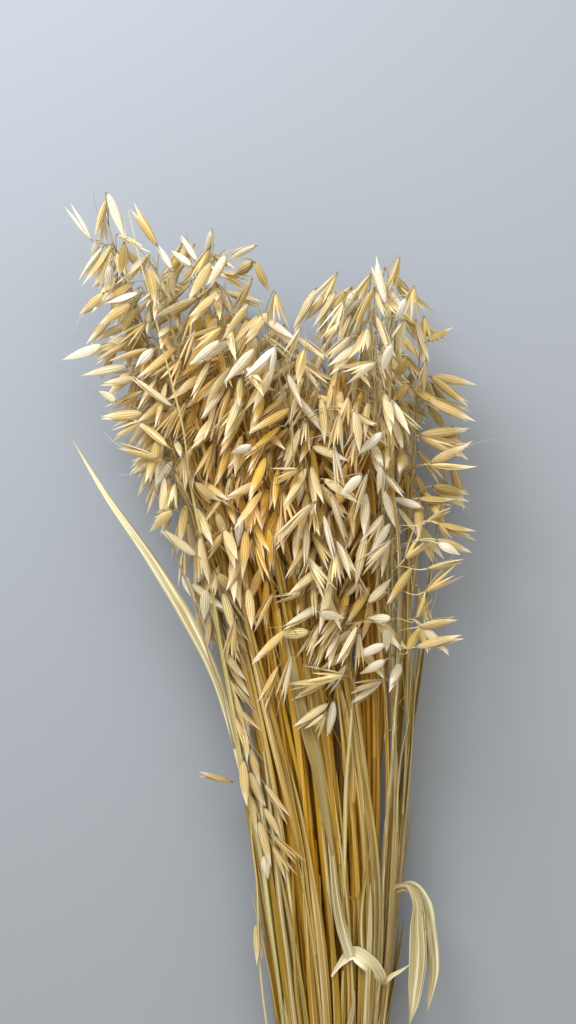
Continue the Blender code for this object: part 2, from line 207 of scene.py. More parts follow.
class Stalk:
    """One oat stalk: where its stem runs, and the branches and leaves that grow from it."""

    def __init__(self, number, across, up, dice):
        self.number, self.name = number, f"oat_stalk_{number:02d}"
        self.across, self.up = across, up
        self.phase = (dice.uniform(0, 6.28), dice.uniform(0, 6.28))
        self.rate = (dice.uniform(2.0, 5.0), dice.uniform(2.0, 5.0))
        self.thickness = dice.uniform(0.93, 1.0)
        self.roll = dice.uniform(0, 6.28)
        self.cut = dice.uniform(0, CUT_END_SPREAD)
        self.first_whorl = dice.random()
        top_x = self.point(HEAD_HEIGHT)[0]
        drop = LONGEST_DROP * (number * GOLDEN_SHARE % 1.0) ** 1.7
        self.height = float(np.interp(top_x, CROWN_X, CROWN_HEIGHT)) - drop
        self.heights = [max(h, self.cut) for h in STEM_STATIONS if h < self.height - LAST_RUN]
        self.heights.append(self.height - TOP_SHORT)
        self.line = np.array([self.point(h) for h in self.heights])
        self.branches = []
        self.leaves = []

    def point(self, height):
        share = spread_at(height)
        wave = [math.sin(p + r * share) - math.sin(p) for p, r in zip(self.phase, self.rate)]
        return stem_point(self.across, self.up, height, wave)

    def on_stem(self, height):
        return np.array([np.interp(height, self.heights, self.line[:, k]) for k in range(3)])

    def heading(self, height):
        return unit(self.on_stem(height + 0.004) - self.on_stem(height - 0.004))

    def radius(self, height):
        foot = self.height - PANICLE_LENGTH
        if height < foot:
            return self.thickness * mix(STEM_RADIUS, AXIS_RADIUS_FOOT, (height / foot) ** 1.3)
        return mix(AXIS_RADIUS_FOOT, AXIS_RADIUS_TIP, (height - foot) / PANICLE_LENGTH)

    def curve(self, *heights):
        """The grown line, which bends smoothly through the ends of the solid stem's straight runs."""
        return smooth(np.array(self.heights), self.line, np.array(heights))


class Capsules:
    """What is already there, as capsules, so that nothing new runs into it."""

    def __init__(self):
        self.ends = np.empty((0, 2, 3))
        self.radii = np.empty(0)
        self.owners = np.empty(0, int)

    def add(self, points, radii, stalk):
        pairs = np.stack((points[:-1], points[1:]), axis=1)
        self.ends = np.concatenate((self.ends, pairs))
        self.radii = np.concatenate((self.radii, radii))
        self.owners = np.concatenate((self.owners, np.full(len(pairs), stalk.number)))

    def gap(self, points, radii, leave_out=None):
        """The least free distance from this chain of capsules to those there, apart from one stalk's."""
        keep = self.owners != (leave_out.number if leave_out else 0)
        ends, others = self.ends[keep], self.radii[keep]
        low, high = points.min(0) - LOOK_ROUND, points.max(0) + LOOK_ROUND
        near = (ends.max(1) > low).all(1) & (ends.min(1) < high).all(1)
        ends, others = ends[near], others[near]
        if not len(others):
            return 1.0
        return float((segment_distances(points, ends) - radii[:, None] - others).min())


def segment_distances(points, ends):
    """Distances between the segments of a chain of points and each pair of ends."""
    p, d1 = points[:-1, None], (points[1:] - points[:-1])[:, None]
    q, d2 = ends[None, :, 0], (ends[:, 1] - ends[:, 0])[None]
    r = p - q
    a, e = (d1 * d1).sum(-1) + 1e-12, (d2 * d2).sum(-1) + 1e-12
    b, c, f = (d1 * d2).sum(-1), (d1 * r).sum(-1), (d2 * r).sum(-1)
    s = np.clip((b * f - c * e) / np.maximum(a * e - b * b, 1e-15), 0, 1)
    t = np.clip((b * s + f) / e, 0, 1)
    s = np.clip((b * t - c) / a, 0, 1)
    return np.linalg.norm(p + d1 * s[..., None] - q - d2 * t[..., None], axis=-1)


def frames_along(points, start):
    """A pair of directions across the line at each point, carried along it without twisting."""
    ways = units(np.diff(points, axis=0))
    across, pairs = start, []
    for before, after in zip(np.vstack((ways[:1], ways)), np.vstack((ways, ways[-1:]))):
        heading = unit(before + after)
        across = unit(across - heading * (across @ heading))
        pairs.append((across, np.cross(heading, across)))
    return pairs


def side_and_front(way):
    """The level direction across a way, and the one across both."""
    side = unit(np.cross(way, (0.0, 0.0, 1.0)))
    return side, np.cross(side, way)


def body_line(branch):
    return branch["base"] + SPIKELET_STEPS[:, None] * branch["length"] * branch["hang"]


def lowest_corner(branch):
    """The lowest corner of the solid, three-sided branch and spikelet."""
    points = np.vstack((branch["root"], body_line(branch)))
    radii = [BRANCH_RADIUS, *(branch["radius"] * SPIKELET_SHAPE)]
    side = unit(np.cross(branch["base"] - branch["root"], branch["hang"]))
    corners = []
    for point, radius, (a, b) in zip(points, radii, frames_along(points, side)):
        if radius == 0:
            corners.append(point)
            continue
        for k in range(3):
            angle = branch["roll"] + 2 * math.pi * k / 3
            corners.append(point + radius * (math.cos(angle) * a + math.sin(angle) * b))
    return np.array(corners)[:, 2].min()


def branch_and_spikelet(stalk, turn, at_whorl, dice):
    """One branch and the spikelet that hangs from it, in its own whorl or in any where that is full."""
    share = (stalk.first_whorl + turn * GOLDEN_SHARE) % 1.0 if at_whorl else dice.random()
    whorl = math.floor(share * WHORLS) / (WHORLS - 1)
    root_height = stalk.height - PANICLE_LENGTH + (PANICLE_LENGTH - 0.014) * whorl ** 0.75
    root, up = stalk.on_stem(root_height), stalk.heading(root_height)
    angle = turn * GOLDEN_ANGLE + dice.uniform(-0.9, 0.9) + stalk.roll
    side, front = side_and_front(up)
    outward_x = np.clip((root[0] - 0.045) / 0.055, -1.0, 1.0)
    outward_x *= mix(-0.5, 1.0, ease((root_height - 0.43) / 0.10))
    outward_z = (root[2] - HEAD_AXIS_Z) / HEAD_HALF_DEPTH
    outward = unit(
        side * (math.cos(angle) + 0.85 * outward_x) + front * (math.sin(angle) + 0.45 * outward_z)
    )
    length = mix(BRANCH_LOW, BRANCH_TOP, whorl) * dice.uniform(0.45, 1.05)
    opened = math.radians(dice.uniform(*BRANCH_OPENED))
    droop = math.radians(dice.uniform(*SPIKELET_DROOP) + 20 * abs(outward_x) * dice.random())
    branch = {
        "root": root, "height": root_height,
        "base": root + length * (up * math.cos(opened) + outward * math.sin(opened)),
        "hang": unit(outward * math.sin(droop) - up * math.cos(droop)),
        "length": SPIKELET_LENGTH * dice.uniform(0.88, 1.12),
        "radius": SPIKELET_RADIUS * dice.uniform(0.88, 1.04),
        "roll": dice.uniform(0, 2.09),
    }
    return rested(branch)


def rested(branch):
    """The branch, with a spikelet that would reach below the surface lifted to lie on it."""
    low = lowest_corner(branch)
    if low < 0:
        branch["base"] = branch["base"] + np.array((0.0, 0.0, -low))
    branch["lifted"] = -min(low, 0.0)
    return branch


def inside_outline(branch):
    """Whether the spikelet keeps to the outline of the bunch, seen from above."""
    tip = branch["base"] + branch["hang"] * branch["length"]
    for end in (branch["base"], tip):
        left, right = (np.interp(height_of(end), EDGE_HEIGHT, edge) for edge in (LEFT_EDGE, RIGHT_EDGE))
        if not left < end[0] < right:
            return False
    return height_of(tip) > LOWEST_TIP


def add_branch(branch, stalk, leave_out=None, clearance=CLEARANCE):
    """Grows the branch where nothing is in its way, and says whether it did."""
    body, body_radii = body_line(branch), branch["radius"] * SPIKELET_GIRTH
    stem, stem_radii = np.stack((branch["root"], branch["base"])), np.array((BRANCH_RADIUS,))
    if taken.gap(body, body_radii, leave_out) < clearance:
        return False
    if taken.gap(stem, stem_radii, stalk) < clearance:
        return False
    stalk.branches.append(branch)
    taken.add(body, body_radii, stalk)
    taken.add(stem, stem_radii, stalk)
    return True


def stalk_at(x, height):
    """The stalk near x at a height that is open to the view from above."""
    return max(stalks, key=lambda s: s.on_stem(height)[2] - 2 * abs(s.on_stem(height)[0] - x))


def top_of_stems(x, height, half):
    """How high the stems reach that pass under a short piece of a strip round x."""
    tops = [HEAD_AXIS_Z - HEAD_HALF_DEPTH]
    for stalk in stalks:
        for at in (height - 0.012, height, height + 0.012):
            centre, radius = stalk.on_stem(at), stalk.radius(at)
            if abs(centre[0] - x) < half + radius:
                tops.append(centre[2] + radius)
    return max(tops)


dice = random.Random(SEED)
taken = Capsules()
stalks = []
for row, count in enumerate(STEM_ROWS):
    for column in range(count):
        across = (column - (count - 1) / 2) * STEM_PITCH / TIE_HALF_WIDTH
        up = (row - (len(STEM_ROWS) - 1) / 2) * ROW_PITCH / TIE_HALF_DEPTH
        for _ in range(TRIES):
            stalk = Stalk(len(stalks) + 1, across, up, dice)
            radii = np.array([stalk.radius(h) for h in stalk.heights[:-1]])
            if taken.gap(stalk.line, radii) > STEM_GAP:
                break
        taken.add(stalk.line, radii, stalk)
        stalks.append(stalk)
for joint_x, joint, width, steps in LEAVES:
    stalk = stalk_at(joint_x, joint)
    points = [stalk.on_stem(joint)]
    for x, height, z in steps:
        x = stalk.on_stem(height)[0] if x is None else x
        over = top_of_stems(x, height, width / 2) + LEAF_OVER_STEMS
        points.append(place(x, height, over if z is None else z))
    line = np.array(points)
    stalk.leaves.append((line, width))
    taken.add(line[1:], np.full(len(line) - 2, width / 2), stalk)
stalk = stalk_at(*LOW_STALK)
for height, base, tip in LOW_SPIKELETS:
    root = stalk.on_stem(height)
    start, end = place(*base, root[2]), place(*tip, root[2] + 0.002)
    branch = {
        "root": root, "height": height, "base": start, "hang": unit(end - start),
        "length": float(np.linalg.norm(end - start)), "radius": SPIKELET_RADIUS * 0.8,
    }
    add_branch(branch, stalk, stalk)
for turn in range(SPIKELETS_EACH):
    for stalk in stalks:
        for attempt in range(TRIES):
            branch = branch_and_spikelet(stalk, turn, attempt < TRIES / 3, dice)
            if branch["lifted"] > MOST_LIFT or not inside_outline(branch):
                continue
            if add_branch(branch, stalk):
                break


# The stems
# Each is a hollow straw up to 3.4 mm thick with a solid joint every hand's breadth or two. Above a
# joint the foot of a dried leaf, its sheath, still wraps the straw, and torn strips of leaf cling on.

STEM_FACES = 10
RING_STEP = 0.011
BARE_SHARE = 0.88
SHEATH_WALL = 0.00020
JOINT_SWELL, JOINT_HALF = 0.00024, 0.0014
JOINT_RINGS = (-0.0040, -0.0018, -0.0006, 0.0006, 0.0018, 0.0040)
FIRST_JOINT, JOINT_STEP = (0.020, 0.150), (0.140, 0.230)
SHEATH_REACH = (0.060, 0.125)
BORE_SHARE, BORE_DEPTH = 0.66, 0.010
STRIPS_EACH = 3
STRIP_ROWS, STRIP_COLUMNS = 26, 5
STRIP_LENGTH, STRIP_WIDTH = (0.08, 0.24), (0.0016, 0.0060)
STRIP_THICKNESS, SHORTEST_STRIP = 0.00022, 0.04
# How far below the top of a stalk its strips end
STRIPS_END = 0.13
THREAD_FACES = 3
SHARP_EDGE = math.radians(55)


def net(rows, columns, around=False):
    """Triangles between the points of a grid, closed into a tube where it goes around."""
    row = np.arange(rows - 1)[:, None] * columns
    column = np.arange(columns if around else columns - 1)[None]
    a, b = row + column, row + (column + 1) % columns
    low = np.stack((a, b, b + columns), -1).reshape(-1, 3)
    high = np.stack((a, b + columns, a + columns), -1).reshape(-1, 3)
    return np.vstack((low, high))


def fan(ring, outwards):
    """Closes a ring of points with triangles from its first."""
    ring = list(ring)
    faces = [(ring[0], ring[k], ring[k + 1]) for k in range(1, len(ring) - 1)]
    return np.array(faces)[:, ::1 if outwards else -1]


def pipe(rings):
    """Closed skin over rings of points, given as rings x points x 3."""
    count, sides = rings.shape[:2]
    last = (count - 1) * sides
    ends = np.vstack((fan(range(sides), False), fan(range(last, last + sides), True)))
    return rings.reshape(-1, 3), np.vstack((net(count, sides, True), ends))


def shell(outer, inner):
    """A thin sheet with two faces, each a grid of points, joined round its edge."""
    rows, columns = outer.shape[:2]
    upper = net(rows, columns)
    count = rows * columns
    edge = np.concatenate((
        np.arange(columns - 1),
        np.arange(rows - 1) * columns + columns - 1,
        rows * columns - 1 - np.arange(columns - 1),
        (rows - 1 - np.arange(rows - 1)) * columns,
    ))
    after = np.roll(edge, -1)
    rim = np.vstack((
        np.stack((after, edge, edge + count), -1),
        np.stack((after, edge + count, after + count), -1),
    ))
    points = np.vstack((outer.reshape(-1, 3), inner.reshape(-1, 3)))
    return points, np.vstack((upper, upper[:, ::-1] + count, rim))


def sideways(angle):
    """A direction across the bunch."""
    return np.array((math.cos(angle), 0.0, math.sin(angle)))


def ring_points(points, radii, sides, start, oval=0.0):
    """Rings of points round a line, and the angle of each point in its ring."""
    angles = 2 * math.pi * np.arange(sides) / sides
    pairs = np.array(frames_along(points, start))
    wide = (np.asarray(radii) * (1 + oval))[:, None, None]
    narrow = (np.asarray(radii) * (1 - 0.6 * oval))[:, None, None]
    rings = (
        points[:, None]
        + wide * np.cos(angles)[None, :, None] * pairs[:, :1]
        + narrow * np.sin(angles)[None, :, None] * pairs[:, 1:]
    )
    return rings, angles


def depth_inside(point):
    """How deep a point is inside the bunch: 0 on its outside and 1 in its heart. It sets how much painted
    glow the surface there gets.
    """
    height = height_of(point)
    spread = spread_at(height)
    grown = fanned(spread)
    wide = mix(TIE_HALF_WIDTH + STEM_RADIUS, HEAD_HALF_WIDTH + 0.022, grown)
    deep = mix(TIE_HALF_DEPTH + STEM_RADIUS, HEAD_HALF_DEPTH + 0.016, grown)
    x = (point[0] - mix(TIE_X, HEAD_X, spread ** LEAN_POWER)) / wide
    z = (point[2] - mix(TIE_AXIS_Z, HEAD_AXIS_Z, grown)) / deep
    crown = float(np.interp(point[0], CROWN_X, CROWN_HEIGHT))
    below_crown = min(max((crown - 0.008 - height) / 0.10, 0.0), 1.0)
    return below_crown * min(max(1.15 - math.hypot(x, z), 0.0), 1.0)


def put(name, data):
    """Puts something into the scene."""
    made = bpy.data.objects.new(name, data)
    bpy.context.scene.collection.objects.link(made)
    return made


class Skin:
    """The faces of one piece, with what its finish reads at each point.

    grain says where on its own surface a point is, and place says how much painted glow it gets, mostly by
    how deep in the bunch it is, its tint, and a mark of its own, such as a stem's joint or the painted
    shade in its bore.
    """

    def __init__(self):
        self.points, self.faces, self.grain, self.place = [], [], [], []
        self.count = 0

    def add(self, shape, grain, place):
        points, faces = shape
        self.points.append(points)
        self.faces.append(faces + self.count)
        self.grain.append(np.broadcast_to(grain, points.shape))
        self.place.append(np.broadcast_to(place, points.shape))
        self.count += len(points)

    def piece(self, name, material):
        mesh = bpy.data.meshes.new(name)
        mesh.from_pydata(np.vstack(self.points).tolist(), [], np.vstack(self.faces).tolist())
        for mark, values in (("grain", self.grain), ("place", self.place)):
            layer = mesh.attributes.new(mark, "FLOAT_VECTOR", "POINT")
            layer.data.foreach_set("vector", np.vstack(values).astype(np.float32).ravel())
        mesh.polygons.foreach_set("use_smooth", np.ones(len(mesh.polygons), bool))
        mesh.set_sharp_from_angle(angle=SHARP_EDGE)
        mesh.materials.append(material)
        return put(name, mesh)


class Wire:
    """One value on its way through a finish. A sum on it adds Math nodes."""

    def __init__(self, finish, socket):
        self.finish, self.socket = finish, socket

    def math(self, operation, *values):
        return self.finish.node("ShaderNodeMath", {"operation": operation}, dict(enumerate(values)))

    def __add__(self, other):
        return self.math("ADD", self, other)

    __radd__ = __add__

    def __sub__(self, other):
        return self.math("SUBTRACT", self, other)

    def __rsub__(self, other):
        return self.math("SUBTRACT", other, self)

    def __mul__(self, other):
        return self.math("MULTIPLY", self, other)

    __rmul__ = __mul__

    def __abs__(self):
        return self.math("ABSOLUTE", self)

    def cos(self):
        return self.math("COSINE", self)

    def rise(self, low, high, start=0.0, end=1.0):
        """Goes smoothly from start to end as the value goes from low to high."""
        return self.finish.node(
            "ShaderNodeMapRange", {"interpolation_type": "SMOOTHSTEP"},
            {"Value": self, "From Min": low, "From Max": high, "To Min": start, "To Max": end})


class Finish:
    """The look of one kind of surface, all of it worked out from the piece's own marks."""

    def __init__(self, name, fixed):
        self.material = bpy.data.materials.new(name)
        self.material.use_nodes = True
        self.tree = self.material.node_tree
        self.shader = self.tree.nodes["Principled BSDF"]
        for socket, value in fixed.items():
            self.shader.inputs[socket].default_value = value

    def node(self, kind, settings, sockets, output=0):
        made = self.tree.nodes.new(kind)
        for setting, value in settings.items():
            if setting == "stops":
                stops = made.color_ramp.elements
                while len(stops) < len(value):
                    stops.new(0.5)
                for stop, (at, colour) in zip(stops, value):
                    stop.position = at
                    stop.color = (*colour, 1.0)
            else:
                setattr(made, setting, value)
        for socket, value in sockets.items():
            if isinstance(value, Wire):
                self.tree.links.new(value.socket, made.inputs[socket])
            else:
                made.inputs[socket].default_value = value
        return Wire(self, made.outputs[output])

    def marks(self, name):
        """The three values that the skin carries under that name."""
        carried = self.node("ShaderNodeAttribute", {"attribute_name": name}, {}, "Vector")
        return [self.node("ShaderNodeSeparateXYZ", {}, {0: carried}, k) for k in range(3)]

    def noise(self, x, y, z, detail=2.0, roughness=0.5):
        """Unevenness round 0.5 at a place that the values give."""
        vector = self.node("ShaderNodeCombineXYZ", {}, {0: x, 1: y, 2: z})
        return self.node(
            "ShaderNodeTexNoise", {},
            {"Vector": vector, "Scale": 1.0, "Detail": detail, "Roughness": roughness})

    def blend(self, low, high, share):
        low, high = [c if isinstance(c, Wire) else (*c, 1.0) for c in (low, high)]
        return self.node("ShaderNodeMix", {"data_type": "RGBA"}, {0: share, 6: low, 7: high}, 2)

    def ramp(self, value, *stops):
        return self.node("ShaderNodeValToRGB", {"stops": stops}, {0: value})

    def wear(self, colour, roughness, relief, distance):
        """Leads what varies to the shader."""
        self.tree.links.new(colour.socket, self.shader.inputs["Base Color"])
        self.tree.links.new(roughness.socket, self.shader.inputs["Roughness"])
        normal = self.node("ShaderNodeBump", {}, {"Strength": 0.7, "Distance": distance, "Height": relief})
        self.tree.links.new(normal.socket, self.shader.inputs["Normal"])
        return self.material


def straw_finish():
    """Dry straw: amber, gold, cream, olive or pale green by its tint, and streaked lengthwise, with a
    painted glow deep in the bunch and painted shade in the bore at its cut end.
    """
    finish = Finish("bleached straw", {
        "Specular IOR Level": 0.28, "Subsurface Weight": 0.12,
        "Subsurface Radius": (0.0020, 0.0010, 0.0003), "Subsurface Scale": 1.0})
    round_x, round_z, height = finish.marks("grain")
    glow_share, tint, joint = finish.marks("place")
    far = tint * 57.0
    broad = finish.noise(round_x * 1.6 + far, round_z * 1.6, height * 14.0, 2.0)
    streak = finish.noise(round_x * 2.6, round_z * 2.6 + far, height * 7.0, 4.0, 0.68)
    line = finish.noise(round_x * 2.4 + far, round_z * 2.4, height * 4.0 + far, 3.0, 0.62)
    fibre = finish.noise(round_x * 15.0 + far, round_z * 15.0, height * 40.0, 2.0)
    colour = finish.ramp(
        tint,
        (0.00, (0.235, 0.132, 0.005)), (0.18, (0.250, 0.166, 0.013)), (0.34, (0.228, 0.184, 0.060)),
        (0.48, (0.500, 0.438, 0.260)), (0.62, (0.262, 0.220, 0.136)), (0.76, (0.196, 0.158, 0.026)),
        (0.88, (0.520, 0.492, 0.215)), (1.00, (0.235, 0.220, 0.056)))
    pale = finish.blend(colour, (0.600, 0.530, 0.320), broad.rise(0.50, 0.72, 0.0, 0.30))
    lined = finish.blend(pale, (0.930, 0.870, 0.600), line.rise(0.545, 0.60, 0.0, 0.68))
    dark = finish.blend(lined, (0.270, 0.155, 0.004), streak.rise(0.495, 0.555, 0.0, 0.80))
    # A painted glow, orange deep in the bunch, stands in for light bounced among the straws and shining
    # through them; partly the straw in there is also less bleached
    glow = finish.blend(dark, (0.680, 0.340, 0.004), glow_share.rise(0.16, 0.70, 0.0, 0.78))
    # Darker at the joints, which is the straw's own colour, and in the bore at the cut end, which is
    # painted shade
    ringed = finish.blend(glow, (0.200, 0.110, 0.025), joint * streak.rise(0.2, 0.7, 0.50, 0.15))
    return finish.wear(ringed, streak.rise(0.3, 0.7, 0.38, 0.56), fibre * 0.7 + streak, 0.00022)


def joints_of(stalk, dice):
    """The heights of a stem's joints, and how far each sheath reaches above its joint."""
    joints = []
    at = dice.uniform(*FIRST_JOINT)
    while at < stalk.height - PANICLE_LENGTH - 0.010:
        joints.append((at, dice.uniform(*SHEATH_REACH)))
        at += dice.uniform(*JOINT_STEP)
    return joints


def round_grain(angles, along):
    """Where each point of something round is on its surface: its direction, and how far along."""
    rows = len(along)
    return np.stack((
        np.tile(np.cos(angles), rows), np.tile(np.sin(angles), rows), np.repeat(along, len(angles))), -1)


def add_stem(skin, stalk, joints, dice):
    """The straw, with its joints, sheaths and the bore at its cut end. Gives its tint."""
    heights = {stalk.cut + 0.0006, stalk.height - 0.011}
    heights.update(np.arange(stalk.cut + 0.006, stalk.height - 0.014, RING_STEP))
    for joint, reach in joints:
        heights.update(joint + step for step in JOINT_RINGS)
        heights.update((joint + reach - 0.0004, joint + reach + 0.0004))
    heights = np.array(sorted(heights))
    radii = np.array([stalk.radius(h) for h in heights])
    sheathed = np.zeros(len(heights))
    ringed = np.zeros(len(heights))
    for joint, reach in joints:
        sheathed = np.maximum(sheathed, (heights > joint) & (heights < joint + reach))
        ringed = np.maximum(ringed, np.exp(-((heights - joint) / JOINT_HALF) ** 2))
    radii = radii * mix(BARE_SHARE, 0.97, sheathed) + SHEATH_WALL * sheathed + JOINT_SWELL * ringed
    radii *= np.clip((stalk.height - 0.004 - heights) / 0.040, 0.40, 1.0)
    points = stalk.curve(*heights)
    start = sideways(stalk.roll)
    rings, angles = ring_points(points, radii, STEM_FACES, start, dice.uniform(0.0, 0.14))
    foot = rings[:1] - points[:1]
    cut = stalk.curve(stalk.cut, stalk.cut + BORE_DEPTH)
    bore = np.stack((
        cut[1] + foot[0] * BORE_SHARE, cut[0] + foot[0] * BORE_SHARE, cut[0] + foot[0] * 0.97))
    shape = pipe(np.concatenate((bore, rings)))
    along = np.concatenate(((stalk.cut + BORE_DEPTH, stalk.cut, stalk.cut), heights))
    own, sheath = dice.random(), dice.random()
    tints = np.concatenate((np.full(3, own), mix(own, sheath, sheathed)))
    # The bore takes the joints' dark mark too, strongest deepest in: painted shade in the hollow of the
    # straw
    marks = np.concatenate(((0.8, 0.4, 0.2), ringed))
    # Each ring's share of painted glow, by how deep in the bunch it lies, and none in the bore
    glow_shares = np.concatenate((np.zeros(3), [depth_inside(p) for p in points]))
    skin.add(
        shape, round_grain(angles, along),
        np.repeat(np.stack((glow_shares, tints, marks), -1), STEM_FACES, axis=0))
    return own


def sheet(centres, sides, halves, cup, thickness, columns, wave=0.0, waves=0.0):
    """A leaf: rows across a line, cupped and waved, as two faces a thickness apart."""
    ups = units(np.cross(sides, np.gradient(centres, axis=0)))
    u = np.linspace(-1, 1, columns)[None, :, None]
    halves = np.asarray(halves)[:, None, None]
    share = np.linspace(0, 1, len(centres))[:, None, None]
    ripple = wave * np.sin(waves * share + 1.7 * u) * np.abs(u) ** 1.5
    middle = (
        centres[:, None] + sides[:, None] * halves * u
        + ups[:, None] * (halves * cup * (u * u - 0.4) + ripple)
    )
    lift = ups[:, None] * thickness / 2
    return shell(middle + lift, middle - lift)


def sheet_grain(rows, columns, length):
    """How far across and along each point of both faces of a sheet is."""
    u, v = np.meshgrid(np.linspace(-1, 1, columns), np.linspace(0, 1, rows))
    one = np.stack((u, v * length, v), -1).reshape(-1, 3)
    return np.vstack((one, one))


def add_strip(skin, stalk, start, length, width, away, twist, tint, dice):
    """A strip of dried leaf that starts at a joint and lies along the stem, a little off it."""
    share = np.linspace(0, 1, STRIP_ROWS)
    heights = start + share * length
    line = stalk.curve(*heights)
    out, side = sideways(away), sideways(away + math.pi / 2)
    drift = 0.0012 + dice.uniform(0.001, 0.005) * share ** 2
    sway = dice.uniform(-0.005, 0.005) * np.sin(share * dice.uniform(2.0, 4.5))
    centres = line + drift[:, None] * out + sway[:, None] * side
    turn = twist * share[:, None] ** 1.5
    sides = side * np.cos(turn) + out * np.sin(turn)
    halves = width / 2 * np.maximum(np.sin(math.pi * (0.25 + 0.74 * share)) ** 0.7, 0.06)
    shape = sheet(centres, sides, halves, dice.uniform(0.3, 0.8), STRIP_THICKNESS, STRIP_COLUMNS)
    shape[0][:, 2] = np.maximum(shape[0][:, 2], 0.0002)
    across, along, _ = sheet_grain(STRIP_ROWS, STRIP_COLUMNS, length).T
    grain = np.stack((across * 1.4, 0 * across, start + along), -1)
    # The strip's share of painted glow, by how deep in the bunch it lies
    glow_shares = np.tile(np.repeat([depth_inside(p) for p in centres], STRIP_COLUMNS), 2)
    skin.add(shape, grain, np.stack((glow_shares, 0 * glow_shares + tint, 0 * glow_shares), -1))


def through(points, count):
    """Evenly spaced points on a smooth line through the given ones."""
    points = np.array(points)
    far = np.concatenate(((0.0,), np.cumsum(np.linalg.norm(np.diff(points, axis=0), axis=1))))
    return smooth(far, points, np.linspace(0, far[-1], count))


def add_strand(skin, line, radii, height, place, faces=THREAD_FACES):
    """Something round and as thin as thread, along a line."""
    line[:, 2] = np.maximum(line[:, 2], 0.0006)
    side = unit(np.cross(line[-1] - line[0], line[1] - line[0] + (1e-5, 0.0, 2e-5)))
    rings, angles = ring_points(line, radii, faces, side)
    grain = round_grain(angles, height + np.linspace(0, 0.05, len(line)))
    skin.add(pipe(rings), grain, np.repeat(np.broadcast_to(place, (len(line), 3)), faces, axis=0))


def settle(piece, slot, *nodes):
    """Ties a piece to the bunch and puts it in place of its solids."""
    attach(piece, "root")
    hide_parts(*nodes)


straw = straw_finish()
stem_skins = {}
for stalk in stalks:
    dice = random.Random(100 + stalk.number)
    skin = stem_skins[stalk.name] = Skin()
    joints = joints_of(stalk, dice)
    stalk.tint = add_stem(skin, stalk, joints, dice)
    for joint, reach in joints:
        for _ in range(STRIPS_EACH):
            start = joint + dice.uniform(0.0, reach)
            length = min(dice.uniform(*STRIP_LENGTH), stalk.height - STRIPS_END - start)
            if length > SHORTEST_STRIP:
                outwards = math.atan2(stalk.up, stalk.across) + dice.uniform(-1.2, 1.2)
                add_strip(
                    skin, stalk, start, length, dice.uniform(*STRIP_WIDTH), outwards,
                    dice.uniform(-1.2, 1.2), dice.random(), dice)


# The spikelets
# Two papery, ribbed husks, 22 to 27 mm long, that close over small empty florets and hang from a
# branch as fine as thread. They grew there, and most are still shut, while some gape.

SPARE_SPIKELETS = 19
SPARE_CROWDING = -0.0021
SPARE_TRIES = 14
SPARE_REACH = 0.205
SPARE_LOW, SPARE_TOP = 0.042, 0.012
HUSK_ALONG = np.array((0.0, 0.06, 0.20, 0.37, 0.55, 0.73, 0.88, 1.0))
HUSK_STRETCH = 1.14
HUSK_NARROW = 0.89
HUSK_WIDTH = np.array((0.13, 0.42, 0.82, 1.00, 0.92, 0.64, 0.27, 0.02))
HUSK_COLUMNS = 7
HUSK_WALL = 0.00012
KERNEL_ALONG = np.array((0.0, 0.14, 0.38, 0.66, 0.90, 1.0))
KERNEL_WIDTH = np.array((0.35, 0.80, 1.00, 0.74, 0.28, 0.04))
KERNEL_FACES = 5
THREAD_RADII = 0.00032 * np.array((1.3, 1.0, 0.9, 0.85, 0.8, 0.8, 1.0, 1.7))
BARE_THREAD_RADIUS = 0.00032 * 0.8
# How the spikelets lean in the head, as x, height and degrees to the right of straight down
LEANS = np.array((
    (-0.109, 0.655, -40), (-0.089, 0.600, -78), (-0.054, 0.650, -52), (-0.034, 0.610, -56),
    (-0.004, 0.600, -48), (0.026, 0.610, -38), (0.066, 0.620, -30), (0.091, 0.600, 40),
    (-0.104, 0.560, -82), (-0.074, 0.540, -66), (-0.064, 0.500, 28), (-0.039, 0.520, 30),
    (-0.024, 0.470, 25), (-0.004, 0.540, -35), (-0.004, 0.480, 0), (0.036, 0.560, -28),
    (0.036, 0.480, -36), (0.066, 0.540, 0), (0.066, 0.480, -25), (0.101, 0.560, 82),
    (0.106, 0.510, 84), (0.106, 0.450, 68), (0.061, 0.430, -42), (0.036, 0.400, -46),
    (0.076, 0.390, -25), (-0.019, 0.400, 22), (-0.014, 0.350, 15),
))
AWN_SHARE = 0.09
AWN_RADII = np.array((0.00012, 0.00009, 0.00007, 0.00004))
# A low panicle that lies over the stems on the left: its stalk, by a place as x and height, and its line
# from top to foot; its spikelets are a little browner than the others, with a small set share of painted
# glow
LATE_STALK = (-0.024, 0.400)
LATE_LINE = np.array((
    (-0.034, 0.468), (-0.028, 0.438), (-0.0235, 0.405), (-0.015, 0.375), (-0.008, 0.340), (-0.002, 0.305)))
LATE_SPIKELETS = 26
LATE_LEAN = 22
LATE_TINT, LATE_GLOW = 0.60, 0.10
BARE_THREADS = 13
# Where few spikelets grow and the stems show through, as x and height and how far each way, and what
# share of the spikelets is missing there
THIN_MIDDLE, THIN_REACH, THIN_SHARE = (0.008, 0.430), (0.023, 0.068), 0.8
# How far inside the left and the right edge and above what height the spikelets thin out, and what
# share of them is missing there
MARGIN_LEFT, MARGIN_RIGHT, MARGIN_TOP, MARGIN_SHARE = 0.020, 0.040, 0.590, (0.80, 0.97)
# The dip between the two lobes of the head, where the spikelets get a painted glow as if deep in the head
DIP_X, DIP_WIDE, DIP_HEIGHT, DIP_TALL, DIP_GLOW = -0.002, 0.017, 0.500, 0.080, 0.50
# From how far to the right the spikelets are painted darker, as shade on the side away from the window,
# how much of their tint they keep, and the least painted glow that they get
SHADED_SIDE_FROM, SHADED_SIDE_TINT, SHADED_SIDE_GLOW = 0.074, 0.10, 0.08
